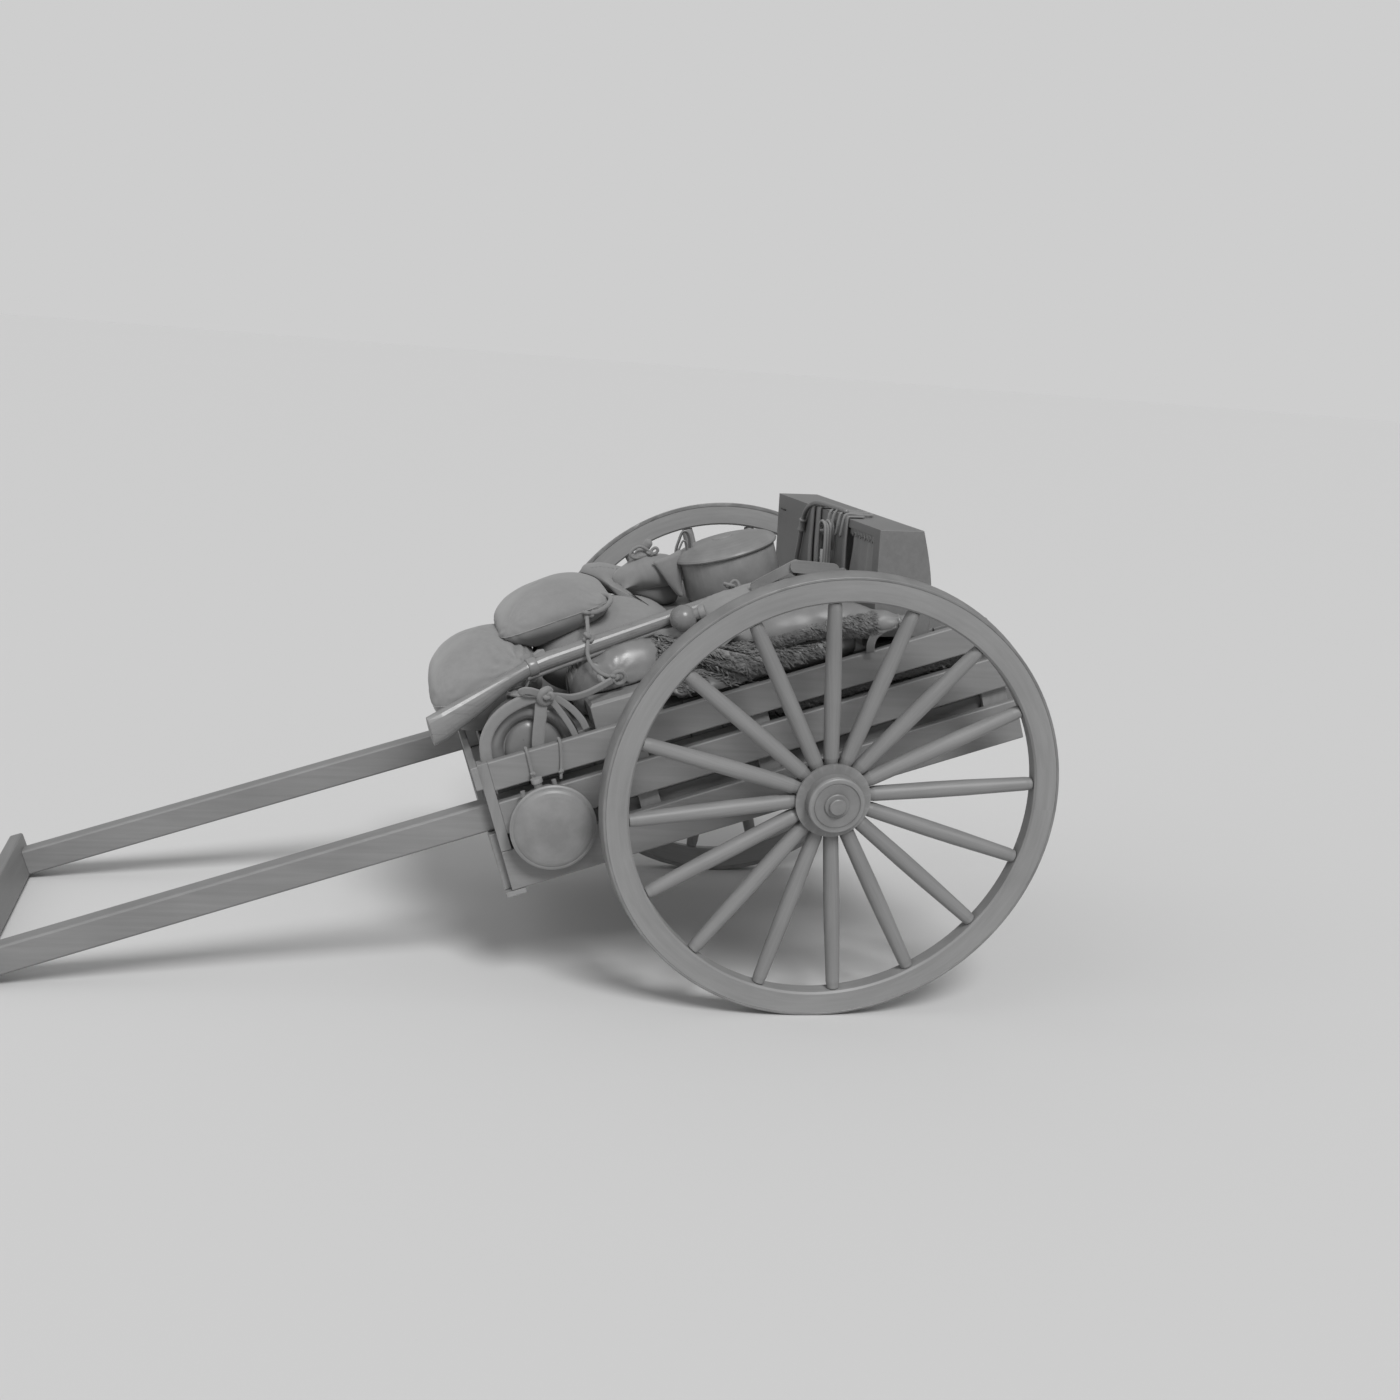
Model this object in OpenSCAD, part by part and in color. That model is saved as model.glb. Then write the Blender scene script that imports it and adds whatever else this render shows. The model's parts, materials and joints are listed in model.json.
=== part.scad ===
// Supply cart: a two-wheeled hand cart with cambered, dished wheels, loaded with supplies.
// Millimetres, +X to the shafts, +Y to the cart's left, +Z up. It stands parked on its shafts.

/* [Wheels] */
// Wheel diameter across the tyre, at the middle of its tread
wheel_d = 1200; // [900:10:1500]
// Outward lean of each wheel at the top, degrees
camber = 6; // [0:0.5:8]
// Lean of the spokes out of the wheel's plane, degrees
dish = 4; // [0:0.5:8]
// Room between each hub's inner end and the side boards
hub_room = 60.5; // [30:0.5:120]
// Width of the felloe and tyre
felloe_w = 50; // [36:1:80]
// Radial depth of the wooden felloe
felloe_t = 58; // [40:1:90]
// Thickness of the iron tyre
tyre_t = 10; // [5:0.5:16]
// Spokes in a wheel
spoke_n = 16; // [10:2:16]
// Spoke diameter at its swell
spoke_d = 43; // [34:1:46]
// Spoke diameter where it stands on the hub
foot_d = 33; // [24:1:34]
// Spoke diameter at the felloe
spoke_end_d = 36; // [28:1:38]
// How far the wheels stand turned forward from a spoke at the top, degrees
spoke_turn = 7; // [0:0.5:22]
// Diameter of the round tenon at each end of a spoke
tenon_d = 22; // [14:1:24]
// Length of each tenon
tenon_l = 26; // [12:1:34]
// Radius of the hub's two flange plates
flange_r = 99; // [90:1:130]
// Radius of the hub boss outside the flanges
boss_r = 74; // [55:1:85]
// Radius of the round axle arm
arm_r = 25; // [16:1:32]
// Running clearance between hub and axle arm
run_gap = 1; // [0.5:0.25:3]
// Clearance where one piece is fitted in another
fit_gap = 0.2; // [0.1:0.05:0.6]

/* [Bed] */
// Length of the side boards
bed_l = 1400; // [1000:10:1900]
// Bed ahead of the axle
bed_front = 815; // [500:5:1100]
// Half of the distance across the shafts' outer faces
shaft_half = 461; // [380:1:560]
// Thickness of the side posts
post_t = 22; // [14:1:40]
// Thickness of the side boards
board_t = 24; // [16:1:36]
// Width of a side post along the cart
post_w = 54; // [30:1:90]
// Top edge of the side above the axle, square to the bed
side_top = 305; // [240:5:480]
// Height of the top side board
top_board_h = 79; // [50:1:110]
// Height of the middle side board
mid_board_h = 88; // [50:1:120]
// Height of the lowest side board
low_board_h = 110; // [90:1:150]
// Gap between the top and middle boards
upper_slit = 31; // [8:1:60]
// Gap between the middle and lowest boards
lower_slit = 42; // [8:1:70]
// Thickness of the floor planks
floor_t = 22; // [14:1:36]
// Planks across the floor
plank_n = 10; // [6:1:14]
// Gap between floor planks
plank_gap = 4; // [1:0.5:8]
// Height and width of the square axle beam
axle_b = 56; // [44:1:80]
// Thickness of the front boards
front_t = 18; // [12:1:40]
// Height of the upper front board
front_h = 62; // [40:1:100]
// Width of a front corner post along the cart
corner_w = 27; // [20:1:50]
// Thickness of the bearer under the front of the bed
bearer_t = 14; // [8:1:30]
// Length of that bearer under the lowest side boards
bearer_l = 36; // [20:1:80]
// Thickness of the tailboard
tail_t = 24; // [16:1:60]
// Lower side boards standing out behind the tailboard
tail_in = 34; // [10:1:80]
// Height of the upper tailboard
tail_h = 88; // [50:1:110]
// Width of the sill under the floor
sill_w = 60; // [40:1:80]
// Sill end standing out behind the side boards
sill_end = 67; // [30:1:160]

/* [Shafts] */
// Reach of the crossbar's front face ahead of the axle
shaft_reach = 2215; // [1600:5:2600]
// Height of a shaft
shaft_h = 75; // [50:1:100]
// Thickness of a shaft
shaft_t = 62; // [40:1:80]
// Underside of the shafts above the axle, square to the bed
shaft_u = 113; // [105:1:140]
// Thickness of the crossbar
cross_t = 40; // [25:1:60]
// Height of the crossbar
cross_h = 107; // [80:1:140]
// Crossbar end standing out past each shaft
cross_over = 34; // [10:1:80]

/* [Crates] */
// Height of the crates that fill the bed
crate_h = 175; // [100:5:260]
// Length of the small chest by the bedroll
small_l = 184; // [120:2:240]
// Width of the small chest
small_w = 112; // [80:2:140]
// Height of the small chest with its lid
small_h = 72; // [40:1:100]
// Gap between neighbouring crates
crate_gap = 6; // [0:1:20]
// Width of the boards on a crate
crate_board = 92; // [60:1:140]
// Depth of the slits between a crate's boards
slit_d = 7; // [3:1:12]
// Width of the slits between a crate's boards
slit_w = 5; // [2:1:10]
// Height of the stowed box under the pot
box_h = 172; // [100:1:220]
// Length of the stowed box
box_l = 390; // [300:5:480]
// Width of the stowed box
box_w = 400; // [300:5:560]

/* [Trunk] */
// Room between the trunk's ends and the sides of the bed
trunk_side = 8; // [6:1:120]
// Height of the trunk
trunk_h = 282; // [200:2:380]
// Depth of the trunk at its top
trunk_d = 122; // [90:1:200]
// How much deeper the trunk is at its foot
trunk_foot = 34; // [0:1:60]
// Bulge of its rounded back
trunk_bulge = 14; // [4:1:30]
// How far the trunk leans back, degrees
trunk_lean = 17; // [0:1:24]
// Turn of the trunk in plan, degrees
trunk_turn = 2; // [0:0.5:4]
// Forward edge of the trunk's foot, ahead of the tailboard
trunk_gap = 299; // [240:1:360]
// Width and height of the alcove in the trunk's front
alcove = [236, 168]; // [60:2:300]
// Depth of that alcove
alcove_d = 22; // [6:1:60]
// Width of the two straps round the trunk
strap_w = 40; // [20:1:70]
// Thickness of those straps
strap_t = 4; // [2:0.5:8]

/* [Pot] */
// Radius of the cooking pot
pot_r = 137; // [90:1:150]
// Height of the cooking pot
pot_h = 118; // [80:1:160]
// Wall of the cooking pot
pot_wall = 4; // [2:0.5:8]
// Height of the lid's dome
lid_h = 38; // [20:1:60]

/* [Canteen] */
// Radius of the canteen
canteen_r = 112; // [80:1:130]
// Thickness of the canteen
canteen_t = 66; // [40:1:90]

/* [Hidden] */
// Cut tools run past the face they cut by this much
past = 1;
// Clearance between soft goods and what they lie on
rest_gap = 0.3;
// Facets round a curve
$fn = 64;
wood = [0.50, 0.50, 0.50];
wood_dark = [0.40, 0.40, 0.40];
iron = [0.36, 0.36, 0.37];
cloth = [0.52, 0.52, 0.52];
hide = [0.42, 0.42, 0.42];
tin = [0.47, 0.47, 0.48];

// Wheel
wheel_r = wheel_d / 2;
felloe_ro = wheel_r - tyre_t;
felloe_ri = felloe_ro - felloe_t;
wheel_h = wheel_r * cos(camber);
cone = tan(camber);
drum_r = flange_r - 7;
flange_gap = foot_d + 5;
flange_t = 8;
hub_s = -(felloe_ri - drum_r) * tan(dish);
boss_out = hub_s + flange_gap / 2 + flange_t;
boss_in = hub_s - flange_gap / 2 - flange_t;
boss_l = 28;
nave_l = 58;
hub_outer = boss_out + boss_l;
hub_inner = boss_in - nave_l;

// Bed, square to its floor, with the axle line as origin
post_v = shaft_half + post_t;
board_v = post_v + board_t;
wheel_v = board_v + hub_room - hub_inner * cos(camber);
arm_end = hub_outer - 6;
beam_half = shaft_half;
droop = (wheel_v - beam_half) * tan(camber);
cross_f = shaft_reach - cross_t;
park_tilt = atan2(shaft_u, shaft_reach)
    + asin(wheel_h / sqrt(shaft_reach * shaft_reach + shaft_u * shaft_u));
beam_f = -droop * sin(park_tilt);
beam_u = droop * cos(park_tilt);
sill_u = beam_u + axle_b / 2;
floor_u = shaft_u - floor_t;
bed_rear = bed_front - bed_l;
front_f = bed_front + corner_w;
mid_top = side_top - top_board_h - upper_slit;
low_top = mid_top - mid_board_h - lower_slit;
low_bottom = low_top - low_board_h;
tail_rear = bed_rear + tail_in;
tail_f = tail_rear + tail_t;
plank_w = (front_f - tail_f - (plank_n - 1) * plank_gap) / plank_n;
crate_u = shaft_u;
crate_top = crate_u + crate_h;
load_u = crate_top + rest_gap;
crate_half = shaft_half - shaft_t - 3;
crate_rear = tail_f + 8;
crate_l = (bed_front - 8 - crate_rear - 2 * crate_gap) / 3;
box_top = crate_top + box_h;
trunk_l = 2 * (post_v - trunk_side);
trunk_at = tail_f + trunk_gap;
box_f = trunk_at + box_l / 2 + 63;
box_v = -box_w / 4;
pot_at = [box_f - 24, box_v + pot_r + 1];
lid_r = pot_r + 11;
canteen_at = [bed_front - canteen_r - 4, shaft_u - 9];
sling_s = canteen_t / 2 - 9;

// The goods are drawn for this length of bed ahead of the trunk and half width of bed. Their
// places follow the bed's length and width, and their sizes its width
drawn_for = [1043, 483];
kf = (bed_front - trunk_at) / drawn_for[0];
k = post_v / drawn_for[1];
bedroll_r = 126 * k;
bedroll_h = 132 * k;
bedroll_w = 132 * k;
bedroll_at = [bed_front - bedroll_r - 1, post_v - bedroll_w - 16];
small_at = [bed_front - 2 * bedroll_r - small_l - 42 * k, post_v - small_w - 38];

// Soft goods, each with its place [forward of the trunk's foot, left of the middle, above the
// crates, turn in plan], its size [length, width, height] and its form [squareness, flat foot]
SOFT = [
    ["sack_front", [998, 90, 0, 88], [470, 262, 340], [2.6, 0.62]],
    ["sack_middle", [631, -117, 0, 80], [460, 330, 272], [2.4, 0.6]],
    ["sack_side", [622, 261, 0, 8], [330, 226, 240], [2.4, 0.62]],
    ["sack_top", [745, 85, 164, 70], [420, 300, 236], [2.4, 0.5]],
    ["sack_rear", [263, 265, 0, 3], [440, 230, 285], [2.6, 0.6]],
    ["hide_lower", [386, 399, 0, 3], [420, 142, 190], [2.6, 0.46]],
    ["hide_upper", [98, 401, 0, 2], [448, 140, 206], [2.6, 0.5]],
    ["pouch", [423, -17, box_h / k + 0.25, 14], [226, 190, 196], [2.2, 0.55]],
    ["pouch_roll", [565, -62, 232, 24], [200, 130, 104], [2.2, 0.6]],
];

// Stations of the gun's stock: along from the lock to the muzzle, rise, half width, half height
GUN = k * [[-338, -78, 15, 39], [-300, -72, 19, 40], [-190, -44, 18, 30], [-105, -18, 16, 21],
    [-50, -6, 20, 22], [10, -2, 22, 24], [300, 0, 21, 22], [620, 2, 17, 18]];
gun_at = [bed_front - 215 * k, 352 * k, crate_top + 196 * k];
gun_turn = 12;
gun_rise = -0.4;

// Ends and bends of the cranked bar, the stick and the flat stave before the trunk: forward of
// its foot, left of the middle, above the crates
BAR = k * [[231, 322, 203], [228, 322, 230], [108, 322, 256]];
STICK = k * [[189, 309, 221], [-18, 309, 200]];
STAVE = k * [[110, 331, 252], [14, 331, 216]];
// The gourd lies on the rear sack, beside the gun
gourd_f = trunk_at + 263 * kf + 177 * k;
gourd_at = [gourd_f, gun_at[1] - (gun_at[0] - gourd_f) * tan(gun_turn) + 66 * k, crate_top + 201 * k];

rear_x = min(-wheel_r - felloe_w / 2 * cone,
    (bed_rear - sill_end) * cos(park_tilt) + sill_u * sin(park_tilt));
front_x = shaft_reach * cos(park_tilt) + (shaft_u + cross_h) * sin(park_tilt);
origin_x = -(rear_x + front_x) / 2;

// The bed's frame: x forward along the bed, y to the left, z square to its floor
module on_bed() {
    translate([origin_x, 0, wheel_h]) rotate([0, park_tilt, 0]) children();
}

// A wheel's frame: z outward along its axle arm from the middle of the felloe
module on_wheel(side) {
    translate([origin_x, side * wheel_v, wheel_h]) rotate([-side * (90 + camber), 0, 0]) children();
}

// A plank from one corner to the opposite one
module plank(a, b) {
    translate(a) cube(b - a);
}

// Moves each spoke's own frame, z along the spoke from the wheel's axis
module at_spokes() {
    for (i = [0 : spoke_n - 1])
        rotate([0, 0, i * 360 / spoke_n + spoke_turn])
            translate([0, 0, hub_s - drum_r * tan(dish)])
                rotate([0, 90 - dish, 0])
                    children();
}

module tyre(side) {
    half = felloe_w / 2;
    color(iron) on_wheel(side) rotate_extrude()
        polygon([[felloe_ro + fit_gap, -half], [wheel_r + half * cone, -half],
            [wheel_r - half * cone, half], [felloe_ro + fit_gap, half]]);
}

module felloe(side) {
    half = felloe_w / 2 - 1;
    ease = 5;
    color(wood) on_wheel(side) difference() {
        rotate_extrude() polygon([[felloe_ri, -half + ease], [felloe_ri + ease, -half],
            [felloe_ro, -half], [felloe_ro, half], [felloe_ri + ease, half],
            [felloe_ri, half - ease]]);
        at_spokes() translate([0, 0, spoke_tip - past]) cylinder(d = tenon_d + 2 * fit_gap,
            h = tenon_l + past + 1);
    }
}

// Spoke length along its own leaning axis, between its two shoulders
spoke_foot = (drum_r + 1) / cos(dish);
// The leaning shoulder's edge clears the felloe's hollow face all round
shoulder_r = spoke_end_d / 2 - 2;
spoke_tip = (felloe_ri - 0.6 - shoulder_r * shoulder_r / (2 * felloe_ri)) / cos(dish)
    - shoulder_r * tan(dish);

module spokes(side) {
    foot_r = foot_d / 2;
    r0 = spoke_end_d / 2;
    r1 = spoke_d / 2;
    span = spoke_tip - spoke_foot;
    tenon_r = tenon_d / 2;
    color(wood) on_wheel(side) at_spokes() rotate_extrude($fn = 24)
        polygon([[0, spoke_foot - tenon_l], [tenon_r, spoke_foot - tenon_l], [tenon_r, spoke_foot],
            [foot_r, spoke_foot], [r1 - 1.5, spoke_foot + 20], [r1, spoke_foot + 0.4 * span],
            [r1 - 0.5, spoke_foot + 0.6 * span], [r0, spoke_tip - 0.04 * span], [shoulder_r, spoke_tip],
            [tenon_r, spoke_tip], [tenon_r, spoke_tip + tenon_l], [0, spoke_tip + tenon_l]]);
}

module hub(side) {
    bore = arm_r + run_gap;
    half = flange_gap / 2;
    color(iron) on_wheel(side) difference() {
        rotate_extrude() polygon([[bore, hub_inner], [boss_r - 16, hub_inner],
            [boss_r - 8, hub_inner + 8], [boss_r, boss_in], [flange_r, boss_in],
            [flange_r, hub_s - half], [drum_r, hub_s - half], [drum_r, hub_s + half],
            [flange_r, hub_s + half], [flange_r, boss_out], [boss_r, boss_out],
            [boss_r, hub_outer - 2], [boss_r - 2, hub_outer], [bore, hub_outer]]);
        at_spokes() translate([0, 0, spoke_foot - tenon_l - 1])
            cylinder(d = tenon_d + 2 * fit_gap, h = tenon_l + past + 3);
    }
}

// Flat screw-on cap with a raised rim and the round boss of the axle nut at its middle, left plain
module hub_cap(side) {
    base = hub_outer + fit_gap;
    color(iron) on_wheel(side) rotate_extrude()
        polygon([[0, base], [boss_r - 1, base], [boss_r, base + 2], [boss_r, base + 6],
            [boss_r - 3, base + 9], [boss_r - 12, base + 9], [boss_r - 13, base + 6.5],
            [boss_r - 15, base + 6.5], [boss_r - 16, base + 8], [boss_r - 42, base + 4],
            [boss_r - 42, base + 8], [boss_r - 44, base + 10], [boss_r - 52, base + 10],
            [boss_r - 52, base + 18], [boss_r - 54.5, base + 20.5], [0, base + 20.5]]);
}

// Square beam under the sills with a round arm at each end, drooped by the camber
module axle() {
    color(iron) union() {
        translate([origin_x, 0, wheel_h]) translate([0, 0, droop]) rotate([0, park_tilt, 0])
            cube([axle_b, 2 * beam_half, axle_b], center = true);
        for (side = [-1, 1])
            on_wheel(side) translate([0, 0, -(wheel_v - beam_half) / cos(camber) - axle_b / 2])
                cylinder(r = arm_r, h = (wheel_v - beam_half) / cos(camber) + axle_b / 2 + arm_end);
    }
}

// Pair of bearers over the axle that carry the floor; their rear ends stand out
module sills() {
    color(wood_dark) on_bed() for (side = [-1, 1]) {
        inner = side > 0 ? shaft_half - sill_w : -shaft_half;
        plank([bed_rear - sill_end, inner, sill_u], [bed_front, inner + sill_w, floor_u]);
    }
}

module floor_planks() {
    color(wood_dark) on_bed() for (i = [0 : plank_n - 1]) {
        f0 = tail_f + i * (plank_w + plank_gap);
        plank([f0, -shaft_half, floor_u], [f0 + plank_w, shaft_half, floor_u + floor_t]);
    }
}

module shaft(side) {
    inner = side > 0 ? shaft_half - shaft_t : -shaft_half;
    ease = 5;
    color(wood) on_bed() translate([tail_f, inner, shaft_u]) rotate([90, 0, 90])
        linear_extrude(cross_f - tail_f)
            polygon([[0, ease], [ease, 0], [shaft_t - ease, 0], [shaft_t, ease],
                [shaft_t, shaft_h - ease], [shaft_t - ease, shaft_h], [ease, shaft_h],
                [0, shaft_h - ease]]);
}

// Board on edge across the shafts' ends: hands push on it, and the parked cart rests on it
module crossbar() {
    half = shaft_half + cross_over;
    ease = 4;
    color(wood) on_bed() translate([cross_f, half, shaft_u]) rotate([90, 0, 0])
        linear_extrude(2 * half)
            polygon([[0, 0], [cross_t, 0], [cross_t, cross_h - ease], [cross_t - ease, cross_h],
                [ease, cross_h], [0, cross_h - ease]]);
}

// One board of a side, with its long outer edges eased
module side_board(side, f0, f1, u0, h) {
    ease = 3;
    translate([f0, side * post_v, u0]) rotate([90, 0, 90]) linear_extrude(f1 - f0)
        polygon([[0, 0], [side * (board_t - ease), 0], [side * board_t, ease],
            [side * board_t, h - ease], [side * (board_t - ease), h], [0, h]]);
}

module side_boards(side) {
    hole_u = beam_u - (post_v + board_t / 2 - beam_half) * tan(camber) * cos(park_tilt);
    color(wood) on_bed() {
        side_board(side, tail_f + fit_gap, bed_front, side_top - top_board_h, top_board_h);
        side_board(side, bed_rear, bed_front, mid_top - mid_board_h, mid_board_h);
        difference() {
            side_board(side, bed_rear, front_f, low_bottom, low_board_h);
            translate([beam_f / 2, side * (post_v - past), hole_u]) rotate([-90 * side, 0, 0])
                cylinder(r = arm_r + 6, h = board_t + 2 * past);
        }
    }
}

// Uprights between the shafts and the side boards
module side_posts(side) {
    v0 = side > 0 ? shaft_half : -post_v;
    color(wood) on_bed() {
        for (f = [axle_b + 20, bed_front / 2])
            plank([f, v0, low_bottom], [f + post_w, v0 + post_t, side_top - 4]);
        plank([bed_rear + 15, v0, low_bottom],
            [bed_rear + 31 + post_w, v0 + post_t, side_top - tail_h - fit_gap]);
    }
}

// Front corner posts that close the ends of the two upper side boards
module corner_posts() {
    color(wood) on_bed() for (side = [-1, 1]) {
        v0 = side > 0 ? shaft_half : -board_v;
        plank([bed_front, v0, low_top + fit_gap], [front_f, v0 + board_v - shaft_half, side_top]);
    }
}

// Upper board across the front, the lower one below the shafts, and the bearer under them
module front_boards() {
    over = board_v + 12;
    color(wood) on_bed() {
        plank([front_f, -over, side_top - front_h], [front_f + front_t, over, side_top]);
        plank([front_f, -post_v, low_bottom], [front_f + front_t, post_v, shaft_u - 2]);
        plank([front_f - bearer_l, -board_v, low_bottom - bearer_t],
            [front_f + front_t, board_v, low_bottom - fit_gap]);
    }
}

// Upper board across the rear ends of the top side boards, and the lower one between the posts
module tailboard() {
    inner = shaft_half - fit_gap;
    color(wood) on_bed() {
        plank([tail_rear, -inner, shaft_u], [tail_f, inner, side_top - tail_h - 4]);
        plank([tail_rear, -board_v, side_top - tail_h], [tail_f, board_v, side_top]);
    }
}

// A closed crate of upright boards, given by its plan and height
module crate(f0, v0, u0, l, w, h, board) {
    nl = max(1, round(l / board));
    nw = max(1, round(w / board));
    difference() {
        plank([f0, v0, u0], [f0 + l, v0 + w, u0 + h]);
        for (i = [1 : 1 : nl - 1], side = [0, 1])
            translate([f0 + i * l / nl - slit_w / 2, side > 0 ? v0 + w - slit_d : v0 - past, u0 - past])
                cube([slit_w, slit_d + past, h + 2 * past]);
        for (i = [1 : 1 : nw - 1], side = [0, 1])
            translate([side > 0 ? f0 + l - slit_d : f0 - past, v0 + i * w / nw - slit_w / 2, u0 - past])
                cube([slit_d + past, slit_w, h + 2 * past]);
    }
}

module bed_crate(i) {
    color(wood_dark) on_bed() crate(crate_rear + i * (crate_l + crate_gap), -crate_half, crate_u,
        crate_l, 2 * crate_half, crate_h, crate_board);
}

module box_form(grow = 0) {
    translate([box_f - box_l / 2 - grow, box_v - box_w / 2 - grow, crate_top - grow])
        cube([box_l + 2 * grow, box_w + 2 * grow, box_h + 2 * grow]);
}

module stowed_box() {
    color(wood_dark) on_bed() crate(box_f - box_l / 2, box_v - box_w / 2, crate_top, box_l, box_w,
        box_h, crate_board);
}

// Small chest by the bedroll, with a bevelled lid
module small_crate_form(grow = 0) {
    bevel = 8;
    translate([small_at[0], small_at[1], crate_top]) hull() {
        translate([-grow, -grow, 0]) cube([small_l + 2 * grow, small_w + 2 * grow, small_h - bevel]);
        translate([bevel - grow, bevel - grow, 0])
            cube([small_l - 2 * (bevel - grow), small_w - 2 * (bevel - grow), small_h + grow]);
    }
}

module small_crate() {
    color(wood) on_bed() small_crate_form();
}

// Frame at the trunk's foot, in the bed's frame: x forward, y left, z up its leaning front
module at_trunk() {
    translate([trunk_at, 0, crate_top]) rotate([0, 0, trunk_turn])
        translate([-(trunk_d + trunk_foot) * cos(trunk_lean), 0, 0]) rotate([0, -trunk_lean, 0])
            translate([trunk_foot, 0, 0]) children();
}

// Long case across the bed with a rounded back, and an alcove in its front by the near end
module trunk() {
    steps = 24;
    rim = 24;
    slot = [60, 5];
    color(wood) on_bed() at_trunk() difference() {
        translate([0, trunk_l / 2, 0]) rotate([90, 0, 0]) linear_extrude(trunk_l)
            polygon(concat([[trunk_d, 0], [trunk_d, trunk_h]],
                [for (i = [0 : steps]) let (t = i / steps)
                    [-trunk_foot * t - trunk_bulge * sin(180 * t), trunk_h * (1 - t)]]));
        translate([trunk_d - alcove_d, trunk_l / 2 - 2 * rim - alcove[0], trunk_h - rim - alcove[1]])
            cube([alcove_d + past, alcove[0], alcove[1]]);
        translate([trunk_d - slot[1], -trunk_l / 2 + rim, trunk_h - 2 * rim])
            cube([slot[1] + past, slot[0], slot[1]]);
    }
}

// Two straps down the trunk's front and over its top edge
module trunk_straps() {
    turn = 46;
    color(hide) on_bed() at_trunk() for (v = [-130, -64]) {
        translate([trunk_d + rest_gap, v, 40]) cube([strap_t, strap_w, trunk_h - 40 + rest_gap]);
        translate([trunk_d - turn, v, trunk_h + rest_gap])
            cube([turn + rest_gap + strap_t, strap_w, strap_t]);
    }
}

// Batten that holds the trunk's front edge up
module trunk_batten() {
    rise = (trunk_d + trunk_foot) * sin(trunk_lean) - rest_gap;
    deep = 40;
    long = 2 * crate_half - 60;
    color(wood_dark) on_bed() translate([trunk_at, 0, crate_top]) rotate([0, 0, trunk_turn])
        translate([0, long / 2, 0]) rotate([90, 0, 0]) linear_extrude(long)
            polygon([[0, 0], [0, rise], [-deep, rise - deep * tan(trunk_lean)], [-deep, 0]]);
}

// Closed stuffed form: length, width and height, squareness, and how much its foot is flattened
module pillow(size, square = 2.6, flat = 0.55, grow = 0, rings = 12, sides = 20) {
    half = [for (s = size) s / 2 + grow];
    function pw(c) = sign(c) * pow(abs(c), 2 / square);
    ring = [for (i = [1 : rings - 1], j = [0 : sides - 1])
        let (a = 180 * i / rings, b = 360 * j / sides, r = pow(sin(a), 2 / square))
        [-half[0] * pw(cos(a)), half[1] * r * pw(cos(b)),
            max(half[2] * r * pw(sin(b)), -half[2] * flat - grow)]];
    n = len(ring);
    polyhedron(points = concat(ring, [[-half[0], 0, 0], [half[0], 0, 0]]),
        faces = concat(
            [for (i = [0 : rings - 3], j = [0 : sides - 1]) let (k = (j + 1) % sides)
                each [[i * sides + j, (i + 1) * sides + j, (i + 1) * sides + k],
                    [i * sides + j, (i + 1) * sides + k, i * sides + k]]],
            [for (j = [0 : sides - 1]) [n, j, (j + 1) % sides]],
            [for (j = [0 : sides - 1]) [n + 1, n - sides + (j + 1) % sides, n - sides + j]]));
}

// Joins a carved soft form into one plain mesh
module carved() {
    resize([0, 0, 0]) difference() {
        children(0);
        children([1 : $children - 1]);
    }
}

// One of the soft goods at its place, in the bed's frame
module soft(name, grow = 0) {
    row = SOFT[search([name], SOFT)[0]];
    place = row[1];
    size = k * row[2];
    translate([trunk_at + kf * place[0], k * place[1], load_u + k * place[2] + size[2] / 2 * row[3][1]])
        rotate([0, 0, place[3]]) pillow(size, row[3][0], row[3][1], grow);
}

module sack_front() {
    color(cloth) on_bed() carved() {
        soft("sack_front");
        translate([front_f - rest_gap, -board_v, low_bottom])
            cube([front_t + 2 * rest_gap, 2 * board_v, side_top - low_bottom + rest_gap]);
    }
}

module sack_middle() {
    color(cloth) on_bed() carved() {
        soft("sack_middle");
        soft("sack_front", rest_gap);
        box_form(rest_gap);
        pot_keep();
    }
}

module sack_side() {
    color(cloth) on_bed() carved() {
        soft("sack_side");
        soft("sack_middle", rest_gap);
        soft("sack_front", rest_gap);
        small_crate_form(rest_gap);
        gun_keep();
        gourd_form(rest_gap);
        box_form(rest_gap);
        pot_keep();
    }
}

module sack_top() {
    color(cloth) on_bed() carved() {
        soft("sack_top");
        soft("sack_front", rest_gap);
        soft("sack_middle", rest_gap);
        soft("sack_side", rest_gap);
        gun_keep();
        pot_keep();
    }
}

module sack_rear() {
    color(cloth) on_bed() carved() {
        soft("sack_rear");
        soft("sack_side", rest_gap);
        small_crate_form(rest_gap);
        box_form(rest_gap);
        gun_keep();
        tool_form(BAR, 26, 8, rest_gap);
        tool_form(STICK, 16, 16, rest_gap);
        tool_form(STAVE, 34, 9, rest_gap);
        gourd_form(rest_gap);
        pot_keep();
        trunk_keep();
    }
}

// Arch of the folded bedroll, seen from its end
module bedroll_arch(r, h) {
    intersection() {
        scale([1, h / r]) circle(r);
        translate([-r, 0]) square([2 * r, h + 1]);
    }
}

module bedroll() {
    groove = 14;
    color(cloth) on_bed() translate([bedroll_at[0], bedroll_at[1] + bedroll_w, load_u])
        rotate([90, 0, 0]) difference() {
            linear_extrude(bedroll_w) bedroll_arch(bedroll_r, bedroll_h);
            translate([0, 0, -past]) linear_extrude(groove) difference() {
                bedroll_arch(bedroll_r - 40, bedroll_h - 40);
                bedroll_arch(bedroll_r - 56, bedroll_h - 56);
            }
        }
}

module bedroll_straps() {
    strap_t = 4;
    strap_w = 24;
    color(hide) on_bed() for (d = [18, 88])
        translate([bedroll_at[0], bedroll_at[1] + d + strap_w, load_u]) rotate([90, 0, 0])
            linear_extrude(strap_w) difference() {
                bedroll_arch(bedroll_r + strap_t, bedroll_h + strap_t);
                bedroll_arch(bedroll_r + rest_gap, bedroll_h + rest_gap);
            }
}

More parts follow.
